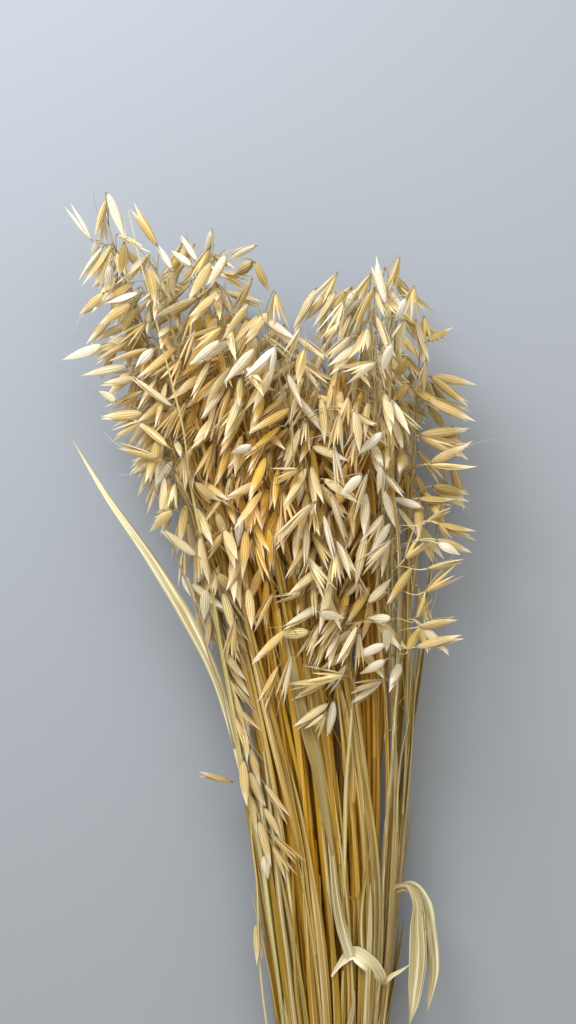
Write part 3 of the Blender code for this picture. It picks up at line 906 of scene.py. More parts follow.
# The spikelets that stand out at the sides and on top: the foot and the tip as x and height in
# millimetres, the tint, and how much paler each is
SINGLE_SPIKELETS = (
    (-101, 656, -116, 678, 0.9, 0.5), (-92, 679, -99, 657, 0.45, 0), (-91, 681, -79, 650, 0.9, 0.2),
    (-98, 655, -101, 641, 0.9, 0.4), (-89, 653, -103, 627, 0.3, 0), (-88, 639, -91, 624, 0.9, 0.3),
    (-79, 649, -80, 633, 0.1, 0), (-76, 630, -93, 619, 0.2, 0), (-92, 624, -108, 611, 0.5, 0),
    (-73, 624, -92, 616, 1, 0.6), (-63, 651, -78, 676, 0.2, 0), (-54, 636, -62, 650, 0.9, 0.3),
    (-67, 639, -54, 619, 0.6, 0), (-67, 638, -62, 615, 0.2, 0), (-54, 635, -56, 621, 0.7, 0),
    (-40, 641, -51, 658, 0.8, 0.2), (-43, 638, -56, 649, 0.9, 0.3), (-75, 617, -85, 604, 0.3, 0),
    (-77, 618, -94, 605, 0.2, 0), (-32, 649, -47, 625, 0.4, 0), (-32, 640, -45, 618, 0.2, 0),
    (-31, 655, -35, 644, 0.9, 0.3), (-8, 652, -25, 647, 1, 0.5), (-10, 643, -22, 637, 0.5, 0),
    (-24, 643, -33, 626, 0.8, 0.2), (-9, 643, 0, 627, 0.5, 0), (-10, 633, -23, 611, 0.15, 0),
    (-28, 623, -46, 607, 0.4, 0), (-11, 616, -27, 595, 0.4, 0), (-27, 596, -44, 582, 0.8, 0.1),
    (3, 625, 4, 602, 0.2, 0), (17, 605, 8, 587, 0.6, 0.1), (-8, 592, -25, 572, 0.8, 0.1),
    (3, 592, -13, 575, 1, 0.6), (3, 592, -2, 574, 1, 0.6), (-26, 604, -46, 591, 0.2, 0),
    (38, 639, 23, 614, 0.35, 0), (37, 627, 25, 605, 0.5, 0), (42, 625, 36, 614, 0.2, 0),
    (56, 635, 45, 615, 0.35, 0), (41, 620, 31, 596, 0.95, 0.35), (58, 627, 43, 601, 0.25, 0),
    (72, 644, 65, 620, 0.15, 0), (64, 617, 56, 643, 0.9, 0.3), (80, 628, 75, 604, 0.2, 0),
    (74, 618, 68, 605, 1, 0.6), (74, 608, 69, 592, 0.9, 0.3), (82, 610, 89, 585, 0.8, 0.2),
    (88, 598, 102, 606, 0.4, 0), (90, 579, 117, 576, 0.6, 0.1), (90, 579, 112, 562, 0.3, 0),
    (88, 565, 116, 552, 0.5, 0.1), (67, 594, 61, 582, 1, 0.7), (59, 585, 37, 577, 0.8, 0.2),
    (39, 558, 59, 550, 0.4, 0), (87, 585, 83, 567, 0.9, 0.2), (45, 600, 29, 587, 0.8, 0.2),
    (77, 574, 70, 565, 0.6, 0), (19, 592, 13, 572, 0.3, 0), (76, 588, 69, 575, 0.2, 0),
    (84, 546, 114, 548, 0.6, 0.1), (84, 545, 111, 535, 0.4, 0), (90, 530, 114, 541, 0.5, 0.1),
    (90, 529, 116, 528, 0.4, 0), (92, 517, 114, 505, 0.6, 0.2), (92, 517, 114, 513, 0.4, 0),
    (85, 505, 69, 510, 0.9, 0.6), (83, 510, 105, 507, 0.5, 0), (86, 496, 103, 505, 0.3, 0),
    (93, 496, 117, 488, 0.5, 0), (93, 496, 105, 484, 0.3, 0), (92, 487, 113, 480, 0.5, 0.1),
    (93, 485, 112, 475, 0.4, 0), (75, 476, 88, 491, 0.3, 0), (86, 471, 108, 476, 0.5, 0.1),
    (85, 458, 107, 474, 0.5, 0.1), (80, 444, 89, 459, 0.35, 0), (81, 442, 98, 425, 0.8, 0.35),
    (79, 429, 105, 436, 0.5, 0.1), (81, 440, 102, 444, 0.5, 0.1), (75, 427, 82, 439, 0.2, 0),
    (63, 506, 71, 501, 0.4, 0), (-81, 602, -103, 591, 0.5, 0.1), (-95, 597, -117, 586, 0.7, 0.3),
    (-77, 602, -100, 586, 0.35, 0), (-81, 585, -108, 581, 0.6, 0.2), (-71, 558, -95, 554, 0.4, 0),
    (-54, 561, -81, 580, 0.6, 0.1), (-57, 539, -77, 556, 0.5, 0.1), (-62, 532, -86, 539, 0.3, 0),
    (-71, 553, -90, 544, 0.5, 0), (-86, 564, -99, 572, 0.6, 0.1), (-53, 503, -69, 496, 0.3, 0),
    (-41, 478, -61, 493, 0.6, 0.1), (-37, 469, -44, 461, 0.8, 0.2), (-36, 460, -36, 443, 0.8, 0.2),
    (-42, 519, -30, 506, 0.3, 0), (-30, 502, -24, 485, 0.35, 0), (-22, 522, -24, 505, 0.4, 0),
    (-30, 468, -20, 456, 0.4, 0), (25, 508, -2, 482, 0.5, 0.1), (23, 507, -6, 476, 0.6, 0.1),
    (-10, 539, -22, 535, 1, 0.7), (62, 546, 50, 536, 0.9, 0.5), (50, 522, 40, 513, 0.9, 0.5),
    (61, 528, 62, 511, 0.7, 0.4), (35, 540, 40, 505, 0.8, 0.3), (16, 526, -2, 521, 0.4, 0),
    (50, 463, 46, 451, 0.8, 0.2), (27, 447, 41, 443, 0.8, 0.3), (55, 451, 69, 463, 0.6, 0.1),
    (22, 435, 2, 433, 0.3, 0), (46, 436, 28, 424, 0.5, 0.1), (64, 429, 48, 420, 0.9, 0.4),
    (45, 424, 30, 413, 0.6, 0.1), (43, 416, 32, 399, 0.9, 0.3), (64, 420, 50, 409, 0.8, 0.4),
    (64, 407, 45, 392, 0.7, 0.3), (63, 407, 44, 401, 0.6, 0.2), (34, 408, 1, 396, 0.25, 0),
    (36, 395, 33, 374, 0.9, 0.4), (33, 394, 13, 380, 0.5, 0.1), (31, 389, 22, 375, 0.6, 0.1),
    (67, 443, 55, 443, 0.8, 0.4), (64, 439, 66, 425, 0.8, 0.4), (18, 457, 2, 452, 0.4, 0),
    (35, 572, 31, 549, 0.35, 0), (43, 566, 40, 542, 0.3, 0), (28, 566, 33, 540, 0.3, 0),
    (38, 556, 35, 531, 0.45, 0), (46, 558, 50, 534, 0.5, 0),
)
SINGLE_SHORTEST, SINGLE_LONGEST = 0.0215, 0.0290
SINGLE_DROP_FROM, SINGLE_STEP, SINGLE_OVERLAP = 0.108, 0.0015, -0.0010
# How much of its painted glow a single spikelet keeps
SINGLE_GLOW = 0.4


def husk(wrap, opened, width, length, bulge, flare, sway):
    """One boat-shaped husk, its foot at the origin and its keel outwards along +Z."""
    u = np.linspace(-1, 1, HUSK_COLUMNS)[None]
    v = HUSK_ALONG[:, None]
    half = SPIKELET_RADIUS * width * HUSK_WIDTH[:, None]
    tilt = math.radians(opened)
    faces = []
    for inset in (0.0, HUSK_WALL):
        reach = np.maximum(half - inset, half * 0.3)
        x = reach * np.sin(wrap * u) + sway * SPIKELET_LENGTH * v ** 2
        z = reach * bulge * (np.cos(wrap * u) + 0.12 * np.exp(-(u / 0.2) ** 2))
        z = z + flare * SPIKELET_LENGTH * v ** 3
        y = length * SPIKELET_LENGTH * v + 0 * u
        y, z = y * math.cos(tilt) - z * math.sin(tilt), y * math.sin(tilt) + z * math.cos(tilt)
        faces.append(np.stack((x, y, z), -1))
    grain = np.stack((0 * v + u, v + 0 * u, 0 * v + 0 * u), -1).reshape(-1, 3)
    inside = grain + np.array((0.0, 0.0, 0.5))
    return shell(*faces), np.vstack((grain, inside))


def kernel(opened, length, width, aside):
    """One empty floret between the husks."""
    line = np.stack((0 * KERNEL_ALONG, KERNEL_ALONG * length * SPIKELET_LENGTH, 0 * KERNEL_ALONG), -1)
    tilt = math.radians(opened)
    line[:, 2] = line[:, 1] * math.sin(tilt)
    line[:, 1] = line[:, 1] * math.cos(tilt) + 0.0012
    line[:, 0] = aside * SPIKELET_RADIUS * KERNEL_ALONG
    radii = SPIKELET_RADIUS * width * KERNEL_WIDTH
    rings, angles = ring_points(line, radii, KERNEL_FACES, np.array((1.0, 0.0, 0.0)))
    around, _, along = round_grain(angles, KERNEL_ALONG).T
    return pipe(rings), np.stack((around, along, 0 * along + 1.0), -1)


# wrap, opened, width, length, bulge, flare and sway of each husk; opened, length, width and aside of
# each floret; how many in a hundred are so; and how much paler they are
SPIKELET_KINDS = (
    (((1.80, 1, 0.90, 1.00, 0.62, 0.00, 0.03), (1.45, 2, 0.84, 0.95, 0.60, 0.01, 0.03)), (), 20, 0.0),
    (((1.75, 3, 0.94, 1.00, 0.58, 0.05, -0.06), (1.50, 3, 0.88, 0.97, 0.58, 0.03, 0.06)), (), 20, 0.0),
    (((1.65, 5, 0.88, 1.02, 0.50, 0.06, 0.07), (1.45, 6, 0.86, 0.90, 0.50, 0.05, -0.02)),
     ((2, 0.78, 0.36, 0.0),), 19, 0.0),
    (((1.50, 11, 0.88, 1.00, 0.44, 0.05, 0.03), (1.45, 10, 0.86, 0.94, 0.44, 0.06, -0.07)),
     ((5, 0.74, 0.38, 0.1), (-5, 0.64, 0.32, -0.2)), 16, 0.05),
    (((1.35, 19, 0.84, 1.00, 0.40, 0.04, 0.08), (1.40, 18, 0.86, 0.95, 0.40, 0.02, -0.08)),
     ((8, 0.80, 0.34, 0.2), (-9, 0.66, 0.32, -0.2)), 10, 0.10),
    (((1.85, 0, 1.04, 0.94, 0.68, 0.00, 0.00), (1.50, 1, 0.98, 0.90, 0.64, 0.00, 0.02)), (), 6, 0.05),
    (((1.30, 8, 0.90, 1.00, 0.42, -0.05, 0.10),), ((0, 0.72, 0.36, 0.0),), 7, 0.10),
    (((1.90, 0, 1.04, 0.64, 0.84, 0.00, 0.00), (1.60, 0, 0.98, 0.58, 0.84, 0.00, 0.00)), (), 2, 0.60),
)


def husk_finish():
    """Papery husk: cream to gold, with brown ribs lengthwise, a pale tip, a dark foot and a painted
    glow deep in the head.
    """
    finish = Finish("oat husk", {
        "Specular IOR Level": 0.34, "Subsurface Weight": 0.25,
        "Subsurface Radius": (0.0034, 0.0018, 0.0006), "Subsurface Scale": 1.0})
    across, along, part = finish.marks("grain")
    glow_share, tint, pale = finish.marks("place")
    far = tint * 71.0
    blotch = finish.noise(across * 1.2 + far, along * 2.5, far, 2.0)
    fibre = finish.noise(across * 9.0 + far, along * 2.0, far, 3.0, 0.6)
    ribs = (across * (math.pi * 6.0) + 0.4).cos().rise(-0.1, 0.9)
    outer = 1.0 - part.rise(0.1, 0.4)
    margin = abs(across).rise(0.80, 0.98) * outer
    colour = finish.ramp(
        tint,
        (0.00, (0.430, 0.300, 0.095)), (0.25, (0.610, 0.455, 0.182)), (0.55, (0.740, 0.620, 0.330)),
        (0.80, (0.795, 0.740, 0.530)), (1.00, (0.855, 0.830, 0.700)))
    ripe = finish.blend(colour, (0.720, 0.450, 0.095), blotch.rise(0.38, 0.75, 0.0, 0.45))
    # A painted glow, orange deep in the head and in the dip between its lobes, stands in for light bounced
    # among the husks and shining through them; partly the husks in there are also less bleached
    painted_glow = finish.blend(ripe, (0.860, 0.445, 0.012), glow_share.rise(0.02, 0.54, 0.0, 0.92))
    ribbed = finish.blend(
        painted_glow, (0.360, 0.205, 0.026), ribs * outer * along.rise(0.60, 1.0, 0.72, 0.10))
    tipped = finish.blend(ribbed, (0.860, 0.830, 0.690), along.rise(0.60, 1.0, 0.0, 0.75))
    edged = finish.blend(tipped, (0.855, 0.805, 0.620), margin * 0.70)
    footed = finish.blend(edged, (0.060, 0.035, 0.020), along.rise(0.0, 0.08, 0.95, 0.0) * outer)
    white = finish.blend(footed, (0.930, 0.880, 0.720), pale)
    inner = finish.blend(white, (0.820, 0.630, 0.280), part.rise(0.1, 0.5, 0.0, 0.50))
    relief = ribs * outer * 0.8 + fibre * 0.5
    return finish.wear(inner, fibre.rise(0.3, 0.7, 0.42, 0.62), relief, 0.00025)


def add_spikelet(skin, kind, branch, tint, glow_share, roll):
    """The husks and florets of one kind, turned to hang as the branch says."""
    hang = branch["hang"]
    side, front = side_and_front(hang)
    side, front = (
        side * math.cos(roll) + front * math.sin(roll), front * math.cos(roll) - side * math.sin(roll))
    stretch = HUSK_STRETCH * branch["length"] / SPIKELET_LENGTH
    swell = HUSK_NARROW * branch["radius"] / SPIKELET_RADIUS
    for shape, grain, paler in kind:
        paler = max(paler, branch.get("paler", 0.0))
        points = (
            branch["base"] + shape[0][:, :1] * swell * side
            + shape[0][:, 1:2] * stretch * hang + shape[0][:, 2:] * swell * front
        )
        points[:, 2] = np.maximum(points[:, 2], 0.0001)
        skin.add((points, shape[1]), grain, (glow_share, tint, paler))


def add_thread(skin, branch, stalk, tint):
    """The branch, which leaves the stem upwards and nods over where the spikelet hangs."""
    root = stalk.curve(branch["height"])[0]
    chord = branch["base"] - root
    reach = np.linalg.norm(chord)
    bend = root + chord * 0.42 + stalk.heading(branch["height"]) * reach * 0.10
    over = branch["base"] - branch["hang"] * min(0.30 * reach, 0.009)
    t = np.linspace(0, 1, len(THREAD_RADII))[:, None]
    line = (
        (1 - t) ** 3 * root + 3 * (1 - t) ** 2 * t * bend + 3 * (1 - t) * t * t * over
        + t ** 3 * (branch["base"] + branch["hang"] * 0.0006)
    )
    dark = np.concatenate((np.zeros(len(line) - 1), (0.9,)))
    # The thread's share of painted glow, by how deep in the bunch its spikelet hangs
    glow_share = depth_inside(branch["base"])
    add_strand(
        skin, line, THREAD_RADII, branch["height"],
        np.stack((0 * dark + glow_share, 0 * dark + tint, dark), -1))


def add_awn(skin, branch, tint, dice):
    """A bristle as fine as a hair, past the tip of a husk."""
    hang = branch["hang"]
    side, _ = side_and_front(hang)
    t = np.linspace(0, 1, len(AWN_RADII))[:, None]
    start = branch["base"] + hang * branch["length"] * 0.8
    far = dice.uniform(0.010, 0.022)
    line = start + hang * far * t + side * dice.uniform(-0.006, 0.006) * t ** 2
    line[:, 2] = np.maximum(line[:, 2] + dice.uniform(-0.002, 0.004) * t[:, 0], 0.0003)
    rings, _ = ring_points(line, AWN_RADII, 3, side)
    skin.add(pipe(rings), (0.5, 0.9, 0.5), (0.0, tint, 0.3))


def add_bare_thread(skin, stalk, dice):
    """A branch that has lost its spikelet and lies close along the stem."""
    height = stalk.height - dice.uniform(0.03, 0.23)
    root, up = stalk.curve(height)[0], stalk.heading(height)
    out = sideways(dice.uniform(0, 2 * math.pi))
    t = np.linspace(0, 1, len(THREAD_RADII))[:, None]
    far, wide = dice.uniform(0.018, 0.050), dice.uniform(0.002, 0.010)
    if dice.random() < 0.3:
        up = -up
    line = root + up * far * t + out * wide * np.sin(t * dice.uniform(1.2, 2.6))
    radii = BARE_THREAD_RADIUS * (1.25 - 0.6 * t[:, 0])
    # The thread's first mark is its share of painted glow, by how deep in the bunch it lies
    add_strand(skin, line, radii, height, (depth_inside(line[4]), mix(0.10, 0.55, dice.random()), 0.0))


def lean_at(x, height):
    """The lean of the spikelets there, from the nearest of those that are given."""
    near = np.hypot(LEANS[:, 0] - x, LEANS[:, 1] - height) + 0.004
    weights = near ** -3.0
    return float((LEANS[:, 2] * weights).sum() / weights.sum())


def spare_branch(stalk, turn, dice):
    """A further branch and spikelet of the same growth, which leans as its neighbours do."""
    share = dice.random() if turn else 0.0
    root_height = stalk.height - 0.012 - (SPARE_REACH - 0.012) * share ** 0.95
    root, up = stalk.curve(root_height)[0], stalk.heading(root_height)
    angle = dice.uniform(0, 2 * math.pi)
    side, front = side_and_front(up)
    outward = unit(
        side * (math.cos(angle) + 0.9 * (root[0] - HEAD_X) / HEAD_HALF_WIDTH)
        + front * (math.sin(angle) + 0.6 * (root[2] - HEAD_AXIS_Z) / HEAD_HALF_DEPTH))
    opened = math.radians(dice.uniform(12, 42))
    length = mix(SPARE_TOP, SPARE_LOW, share) * dice.uniform(0.5, 1.1)
    base = root + length * (up * math.cos(opened) + outward * math.sin(opened))
    lean = math.radians(lean_at(base[0], height_of(base)) + dice.gauss(0, 17))
    forwards = math.radians(dice.gauss(0, 22))
    return rested({
        "root": root, "height": root_height, "base": base, "roll": 0.3,
        "hang": unit(np.array((
            math.sin(lean) * math.cos(forwards), -math.cos(lean) * math.cos(forwards),
            math.sin(forwards)))),
        "length": SPIKELET_LENGTH * dice.uniform(0.86, 1.14),
        "radius": SPIKELET_RADIUS * dice.uniform(0.84, 1.04),
    })


def bare_there(branch, dice):
    """Whether the spikelet would hang where the stems are left bare."""
    off = (branch["base"][:2] + (0.0, BUNCH_LENGTH / 2) - THIN_MIDDLE) / THIN_REACH
    return off @ off < 1 and dice.random() < THIN_SHARE


def thin_there(branch, dice):
    """Whether the spikelet is one of those that are missing near the edge of the head."""
    x, height = branch["base"][:2] + (0.0, BUNCH_LENGTH / 2)
    right = x > np.interp(height, EDGE_HEIGHT, RIGHT_EDGE) - MARGIN_RIGHT
    left = x < np.interp(height, EDGE_HEIGHT, LEFT_EDGE) + MARGIN_LEFT
    return (left or right or height > MARGIN_TOP) and dice.random() < MARGIN_SHARE[right]


def add_single(row, dice):
    """One spikelet in its own place, let down from above until it meets what is there."""
    foot, tip, (tint, paler) = np.array(row[:2]) / 1000, np.array(row[2:4]) / 1000, row[4:]
    across = tip - foot
    flat = float(np.linalg.norm(across))
    whole = min(max(flat, SINGLE_SHORTEST), SINGLE_LONGEST)
    sink = math.sqrt(max(whole ** 2 - min(flat, whole) ** 2, 0.0)) + whole * dice.uniform(-0.15, 0.25)
    hang = unit(np.array((*across, -sink)))
    branch = {
        "hang": hang, "length": whole / HUSK_STRETCH, "tint": tint, "paler": paler,
        "radius": SPIKELET_RADIUS * dice.uniform(0.90, 1.06),
    }
    nearest = min(stalks, key=lambda s: abs(s.on_stem(foot[1])[0] - foot[0]))
    lowest = max(nearest.on_stem(foot[1])[2] + dice.uniform(-0.006, 0.010), 0.012)
    radii = branch["radius"] * SPIKELET_GIRTH
    for z in np.arange(SINGLE_DROP_FROM, lowest, -SINGLE_STEP):
        branch["base"] = place(*foot, z)
        if taken.gap(body_line(branch), radii) < SINGLE_OVERLAP:
            break
    low = body_line(branch)[:, 2].min() - 0.003
    branch["base"] = branch["base"] - (0.0, 0.0, min(low, 0.0))

    def way(stalk):
        root = stalk.on_stem(min(foot[1] - 0.006, stalk.height - 0.014))
        return float(np.linalg.norm(root - branch["base"]))

    stalk = min(stalks, key=way)
    branch["height"] = min(foot[1] - dice.uniform(0.0, 0.014), stalk.height - 0.014)
    stalk.branches.append(branch)
    taken.add(body_line(branch), radii, stalk)


def glow_share_at(point):
    """How much painted glow a spikelet gets: most deep in the head and in the dip between its lobes."""
    x, height = (point[0] - DIP_X) / DIP_WIDE, (height_of(point) - DIP_HEIGHT) / DIP_TALL
    return min(1.0, max(depth_inside(point) - 0.04, DIP_GLOW * math.exp(-x ** 2 - height ** 2)))


SHAPES = []
for husks, kernels, share, paler in SPIKELET_KINDS:
    parts = []
    for number, numbers in enumerate(husks):
        shape, grain = husk(*numbers)
        if number:
            shape = (shape[0] * np.array((-1.0, 1.0, -1.0)), shape[1])
        parts.append((shape, grain, paler))
    for numbers in kernels:
        shape, grain = kernel(*numbers)
        parts.append((shape, grain, paler))
    SHAPES.append(parts)

dice = random.Random(SEED + 1)
for row in SINGLE_SPIKELETS:
    add_single(row, dice)
for turn in range(SPARE_SPIKELETS):
    for stalk in stalks:
        for _ in range(SPARE_TRIES):
            branch = spare_branch(stalk, turn, dice)
            if branch["lifted"] > MOST_LIFT or not inside_outline(branch):
                continue
            if bare_there(branch, dice) or thin_there(branch, dice):
                continue
            if add_branch(branch, stalk, clearance=SPARE_CROWDING):
                break

late = stalk_at(*LATE_STALK)
for k in range(LATE_SPIKELETS):
    at = k / (LATE_SPIKELETS - 1)
    x, height = [np.interp(at, np.linspace(0, 1, len(LATE_LINE)), LATE_LINE[:, c]) for c in range(2)]
    x = x + dice.uniform(-0.004, 0.006)
    above = top_of_stems(x, height, 0.004) + dice.uniform(0.001, 0.007)
    lean = math.radians(LATE_LEAN + dice.gauss(0, 9))
    late.branches.append({
        "height": height + 0.012, "base": place(x, height, above),
        "hang": unit(np.array((math.sin(lean), -math.cos(lean), dice.uniform(-0.15, 0.05)))),
        "length": SPIKELET_LENGTH * dice.uniform(0.80, 1.08), "late": True,
        "radius": SPIKELET_RADIUS * dice.uniform(0.80, 1.0),
    })


def top_of_heads(x, height):
    """How high the spikelets reach at a place."""
    for z in np.arange(SINGLE_DROP_FROM, 0.0, -SINGLE_STEP):
        feeler = np.array((place(x, height, z), place(x, height + 0.002, z)))
        if taken.gap(feeler, np.array((0.002,))) < 0:
            break
    return z


# Single strands, which are the pale straws that lie on top of the others, and the axes of the panicles
# in front: the stalk that carries each, by a place as x and height; the radius; the tint, or the tints
# at top and foot; how far above the stems it lies, or from 0 down, how far below the top of the heads;
# and the line, as x and height in millimetres
STRANDS = (
    (-0.040, 0.480, 0.00062, 0.86, 0, (
        (-79, 671), (-73, 645), (-65.5, 618), (-59.5, 594), (-54, 573), (-48, 548), (-45, 522))),
    (0.012, 0.500, 0.00050, 0.80, 0, ((9, 590), (11, 578), (12, 558), (12.5, 541), (14, 520))),
    (-0.040, 0.300, 0.00070, 0.86, 0.0005, (
        (-12, 342), (-11, 314), (-8, 286), (-7.5, 265), (-7, 245), (-5, 222), (-1, 193), (6, 158),
        (14, 124))),
    (-0.024, 0.400, 0.00070, 0.62, 0, (
        (-70, 533), (-64, 514), (-58, 496), (-52, 476), (-44, 455), (-38, 432), (-32.5, 414), (-28.5, 403),
        (-23.5, 381), (-20, 362))),
    (0.040, 0.282, 0.00036, 0.54, 0.001, ((39, 282), (43, 283), (47, 279), (48, 266), (48, 250))),
    (0.068, 0.375, 0.00066, 0.54, 0.0015, ((65.5, 371), (66, 376), (70, 377.5), (74.5, 379))),
    (-0.020, 0.370, 0.00135, 0.88, 0, (
        (-48, 531), (-44, 514), (-41, 499), (-38, 485), (-34.3, 469), (-31.7, 451), (-28.5, 429),
        (-25, 409), (-20.5, 383), (-16, 355), (-11, 333), (-4.5, 299), (-1, 271), (3.5, 238), (7, 208),
        (11, 165), (16, 128))),
    (0.002, 0.300, 0.00160, 0.50, 0.0010, (
        (-4, 365), (-1.5, 345), (0, 329), (2.5, 305), (6, 271), (10.3, 238), (13.7, 208), (18, 165),
        (22, 130))),
    (0.043, 0.340, 0.00135, 0.86, 0.0010, (
        (47, 400), (46, 383), (43.5, 350), (42.7, 316), (42.1, 291), (42.4, 266))),
    (0.041, 0.230, 0.00135, 0.86, 0.0006, ((41.6, 238), (41.3, 222), (41, 208), (40, 165), (39, 130))),
    (0.067, 0.330, 0.00130, (0.74, 0.50), -0.0025, (
        (68.5, 620), (67.5, 597), (66.5, 566), (66.3, 536), (69, 511), (72, 486), (73, 456), (72.3, 418),
        (71, 388), (69.5, 355), (67.2, 327), (65, 294), (63.9, 249), (61, 208), (56, 165), (50, 130))),
    (0.076, 0.350, 0.00085, 0.50, 0.0008, (
        (80, 383), (76.1, 366), (73.3, 344), (72.7, 327), (73.8, 305), (72.7, 283), (70.5, 249), (66, 208),
        (60, 165), (53, 130))),
)
# Those from the first radius up are as round as straws, and thinner ones have the faces of a thread
STRAND_STEPS = 40
STRAW_FROM, STRAW_FACES = 0.001, 9
# How close to the stems a strand may lie, and how often its bends are eased. Those that run down to the
# tie go in between the stems there, and the others end a little sunk, apart from the finest twigs.
ON_STEMS, EASINGS = 0.0008, 10
ABOVE_TIE, END_SUNK, TWIG = 0.140, 0.006, 0.0008
for x, height, radius, tint, above, line in STRANDS:
    stalk = stalk_at(x, height)
    line = np.array(line) / 1000
    lowest = np.array([top_of_stems(*point, 0.001) for point in line]) + max(above, ON_STEMS)
    tops = lowest
    if above <= 0:
        tops = np.maximum(lowest, [top_of_heads(*point) + above for point in line])
        tops[0] = min(tops[:3])
    for _ in range(EASINGS):
        tops = np.concatenate((tops[:1], (tops[:-2] + 2 * tops[1:-1] + tops[2:]) / 4, tops[-1:]))
    tops = np.maximum(tops, lowest)
    if line[-1, 1] < ABOVE_TIE:
        line[-1, 0], tops[-1] = mix(line[-1, 0], TIE_X, 0.5), TIE_AXIS_Z
    elif above <= 0 or radius > TWIG:
        tops[-1] -= END_SUNK
    line = through([place(*point, top) for point, top in zip(line, tops)], STRAND_STEPS)
    radii = radius * np.interp(np.linspace(0, 1, STRAND_STEPS), (0, 0.35), (0.45, 1.0))
    tints = np.linspace(*np.broadcast_to(tint, 2), STRAND_STEPS)
    marks = np.stack((0 * tints, tints, 0 * tints), -1)
    faces = STRAW_FACES if radius > STRAW_FROM else THREAD_FACES
    add_strand(stem_skins[stalk.name], line, radii, height, marks, faces)

papery = husk_finish()
for stalk in stalks:
    dice = random.Random(200 + stalk.number)
    skin = Skin()
    stalk_tint = dice.uniform(-0.15, 0.15)
    for branch in stalk.branches:
        # Each spikelet's first mark is its share of painted glow, which stands in for light bounced among
        # the husks
        glow_share = glow_share_at(branch["base"] + branch["hang"] * branch["length"] / 2)
        kind = dice.choices(SHAPES, [numbers[2] for numbers in SPIKELET_KINDS])[0]
        tint = min(max(dice.gauss(0.55, 0.22) + stalk_tint, 0.0), 1.0)
        if "late" in branch:
            tint, glow_share = tint * LATE_TINT, LATE_GLOW
        if "tint" in branch:
            tint = min(max(branch["tint"] + dice.uniform(-0.1, 0.1), 0.0), 1.0)
            glow_share *= SINGLE_GLOW
        # Far to the right the spikelets get painted shade: a darker tint, and some painted glow
        if branch["base"][0] > SHADED_SIDE_FROM:
            tint, glow_share = tint * SHADED_SIDE_TINT, max(glow_share, SHADED_SIDE_GLOW)
        add_spikelet(skin, kind, branch, tint, glow_share, dice.uniform(0, 2 * math.pi))
        add_thread(stem_skins[stalk.name], branch, stalk, mix(0.22, 0.50, stalk.tint))
        if dice.random() < AWN_SHARE:
            add_awn(skin, branch, tint, dice)
    for _ in range(BARE_THREADS):
        add_bare_thread(stem_skins[stalk.name], stalk, dice)
    settle(skin.piece(f"oat_spikelets_{stalk.number:02d}", papery), "straw", stalk.name)
    settle(stem_skins[stalk.name].piece(f"oat_stem_{stalk.number:02d}", straw), "straw", stalk.name)


# The leaves
# Four dried leaf blades are still on their stalks. They are as thin as paper, ribbed lengthwise, and
# have curled, folded or torn since they were cut.

LEAF_ROWS, LEAF_COLUMNS = 60, 11
LEAF_WALL = 0.00030


def leaf_finish():
    """Dried leaf: pale straw with many fine veins and a stronger one in the middle."""
    finish = Finish("dried leaf", {"Specular IOR Level": 0.40, "IOR": 1.42})
    across, length, share = finish.marks("grain")
    _, tint, _ = finish.marks("place")
    blotch = finish.noise(across * 0.8 + tint * 30.0, length * 40.0, tint * 9.0, 3.0)
    fibre = finish.noise(across * 2.8, length * 6.0, tint * 20.0, 4.0, 0.68)
    line = finish.noise(across * 3.2, length * 3.0, tint * 20.0 + 7.0, 3.0, 0.62)
    veins = (across * (math.pi * 6.0)).cos().rise(0.0, 1.0)
    colour = finish.ramp(
        tint,
        (0.0, (0.215, 0.155, 0.040)), (0.4, (0.340, 0.290, 0.130)), (0.7, (0.520, 0.470, 0.265)),
        (1.0, (0.640, 0.560, 0.350)))
    olive = finish.blend(colour, (0.240, 0.170, 0.050), fibre.rise(0.48, 0.57, 0.0, 0.72))
    veined = finish.blend(olive, (0.720, 0.650, 0.420), veins * tint.rise(0.0, 0.6, 0.12, 0.30))
    streaked = line.rise(0.52, 0.58, 0.0, 1.0) * tint.rise(0.0, 0.5, 0.35, 0.80)
    lined = finish.blend(veined, (0.860, 0.840, 0.660), streaked)
    browned = finish.blend(lined, (0.340, 0.225, 0.065), blotch.rise(0.56, 0.72, 0.0, 0.45))
    tipped = finish.blend(browned, (0.800, 0.750, 0.560), share.rise(0.70, 1.0, 0.0, 0.30))
    footed = finish.blend(tipped, (0.330, 0.200, 0.060), share.rise(0.0, 0.22, 0.85, 0.0))
    return finish.wear(footed, fibre.rise(0.3, 0.7, 0.42, 0.60), veins * 0.5 + fibre, 0.00025)


def add_blade(skin, line, width, widths, turns, cups, wave, waves, tint):
    """A blade along a line. Its widths, turns and cups are given from its foot to its tip."""
    centres = through(line, LEAF_ROWS)
    share = np.linspace(0, 1, LEAF_ROWS)
    headings = units(np.gradient(centres, axis=0))
    flat = units(np.cross(headings, (0.0, 0.0, 1.0)))
    up = np.cross(flat, headings)
    turn, cup, wide = (
        np.interp(share, np.linspace(0, 1, len(given)), given) for given in (turns, cups, widths))
    sides = flat * np.cos(turn)[:, None] + up * np.sin(turn)[:, None]
    body = sheet(
        centres, sides, width / 2 * wide, cup[:, None, None], LEAF_WALL, LEAF_COLUMNS, wave, waves)
    length = float(np.linalg.norm(np.diff(centres, axis=0), axis=1).sum())
    skin.add(body, sheet_grain(LEAF_ROWS, LEAF_COLUMNS, length), (0.0, tint, 0.0))


dry_leaf = leaf_finish()
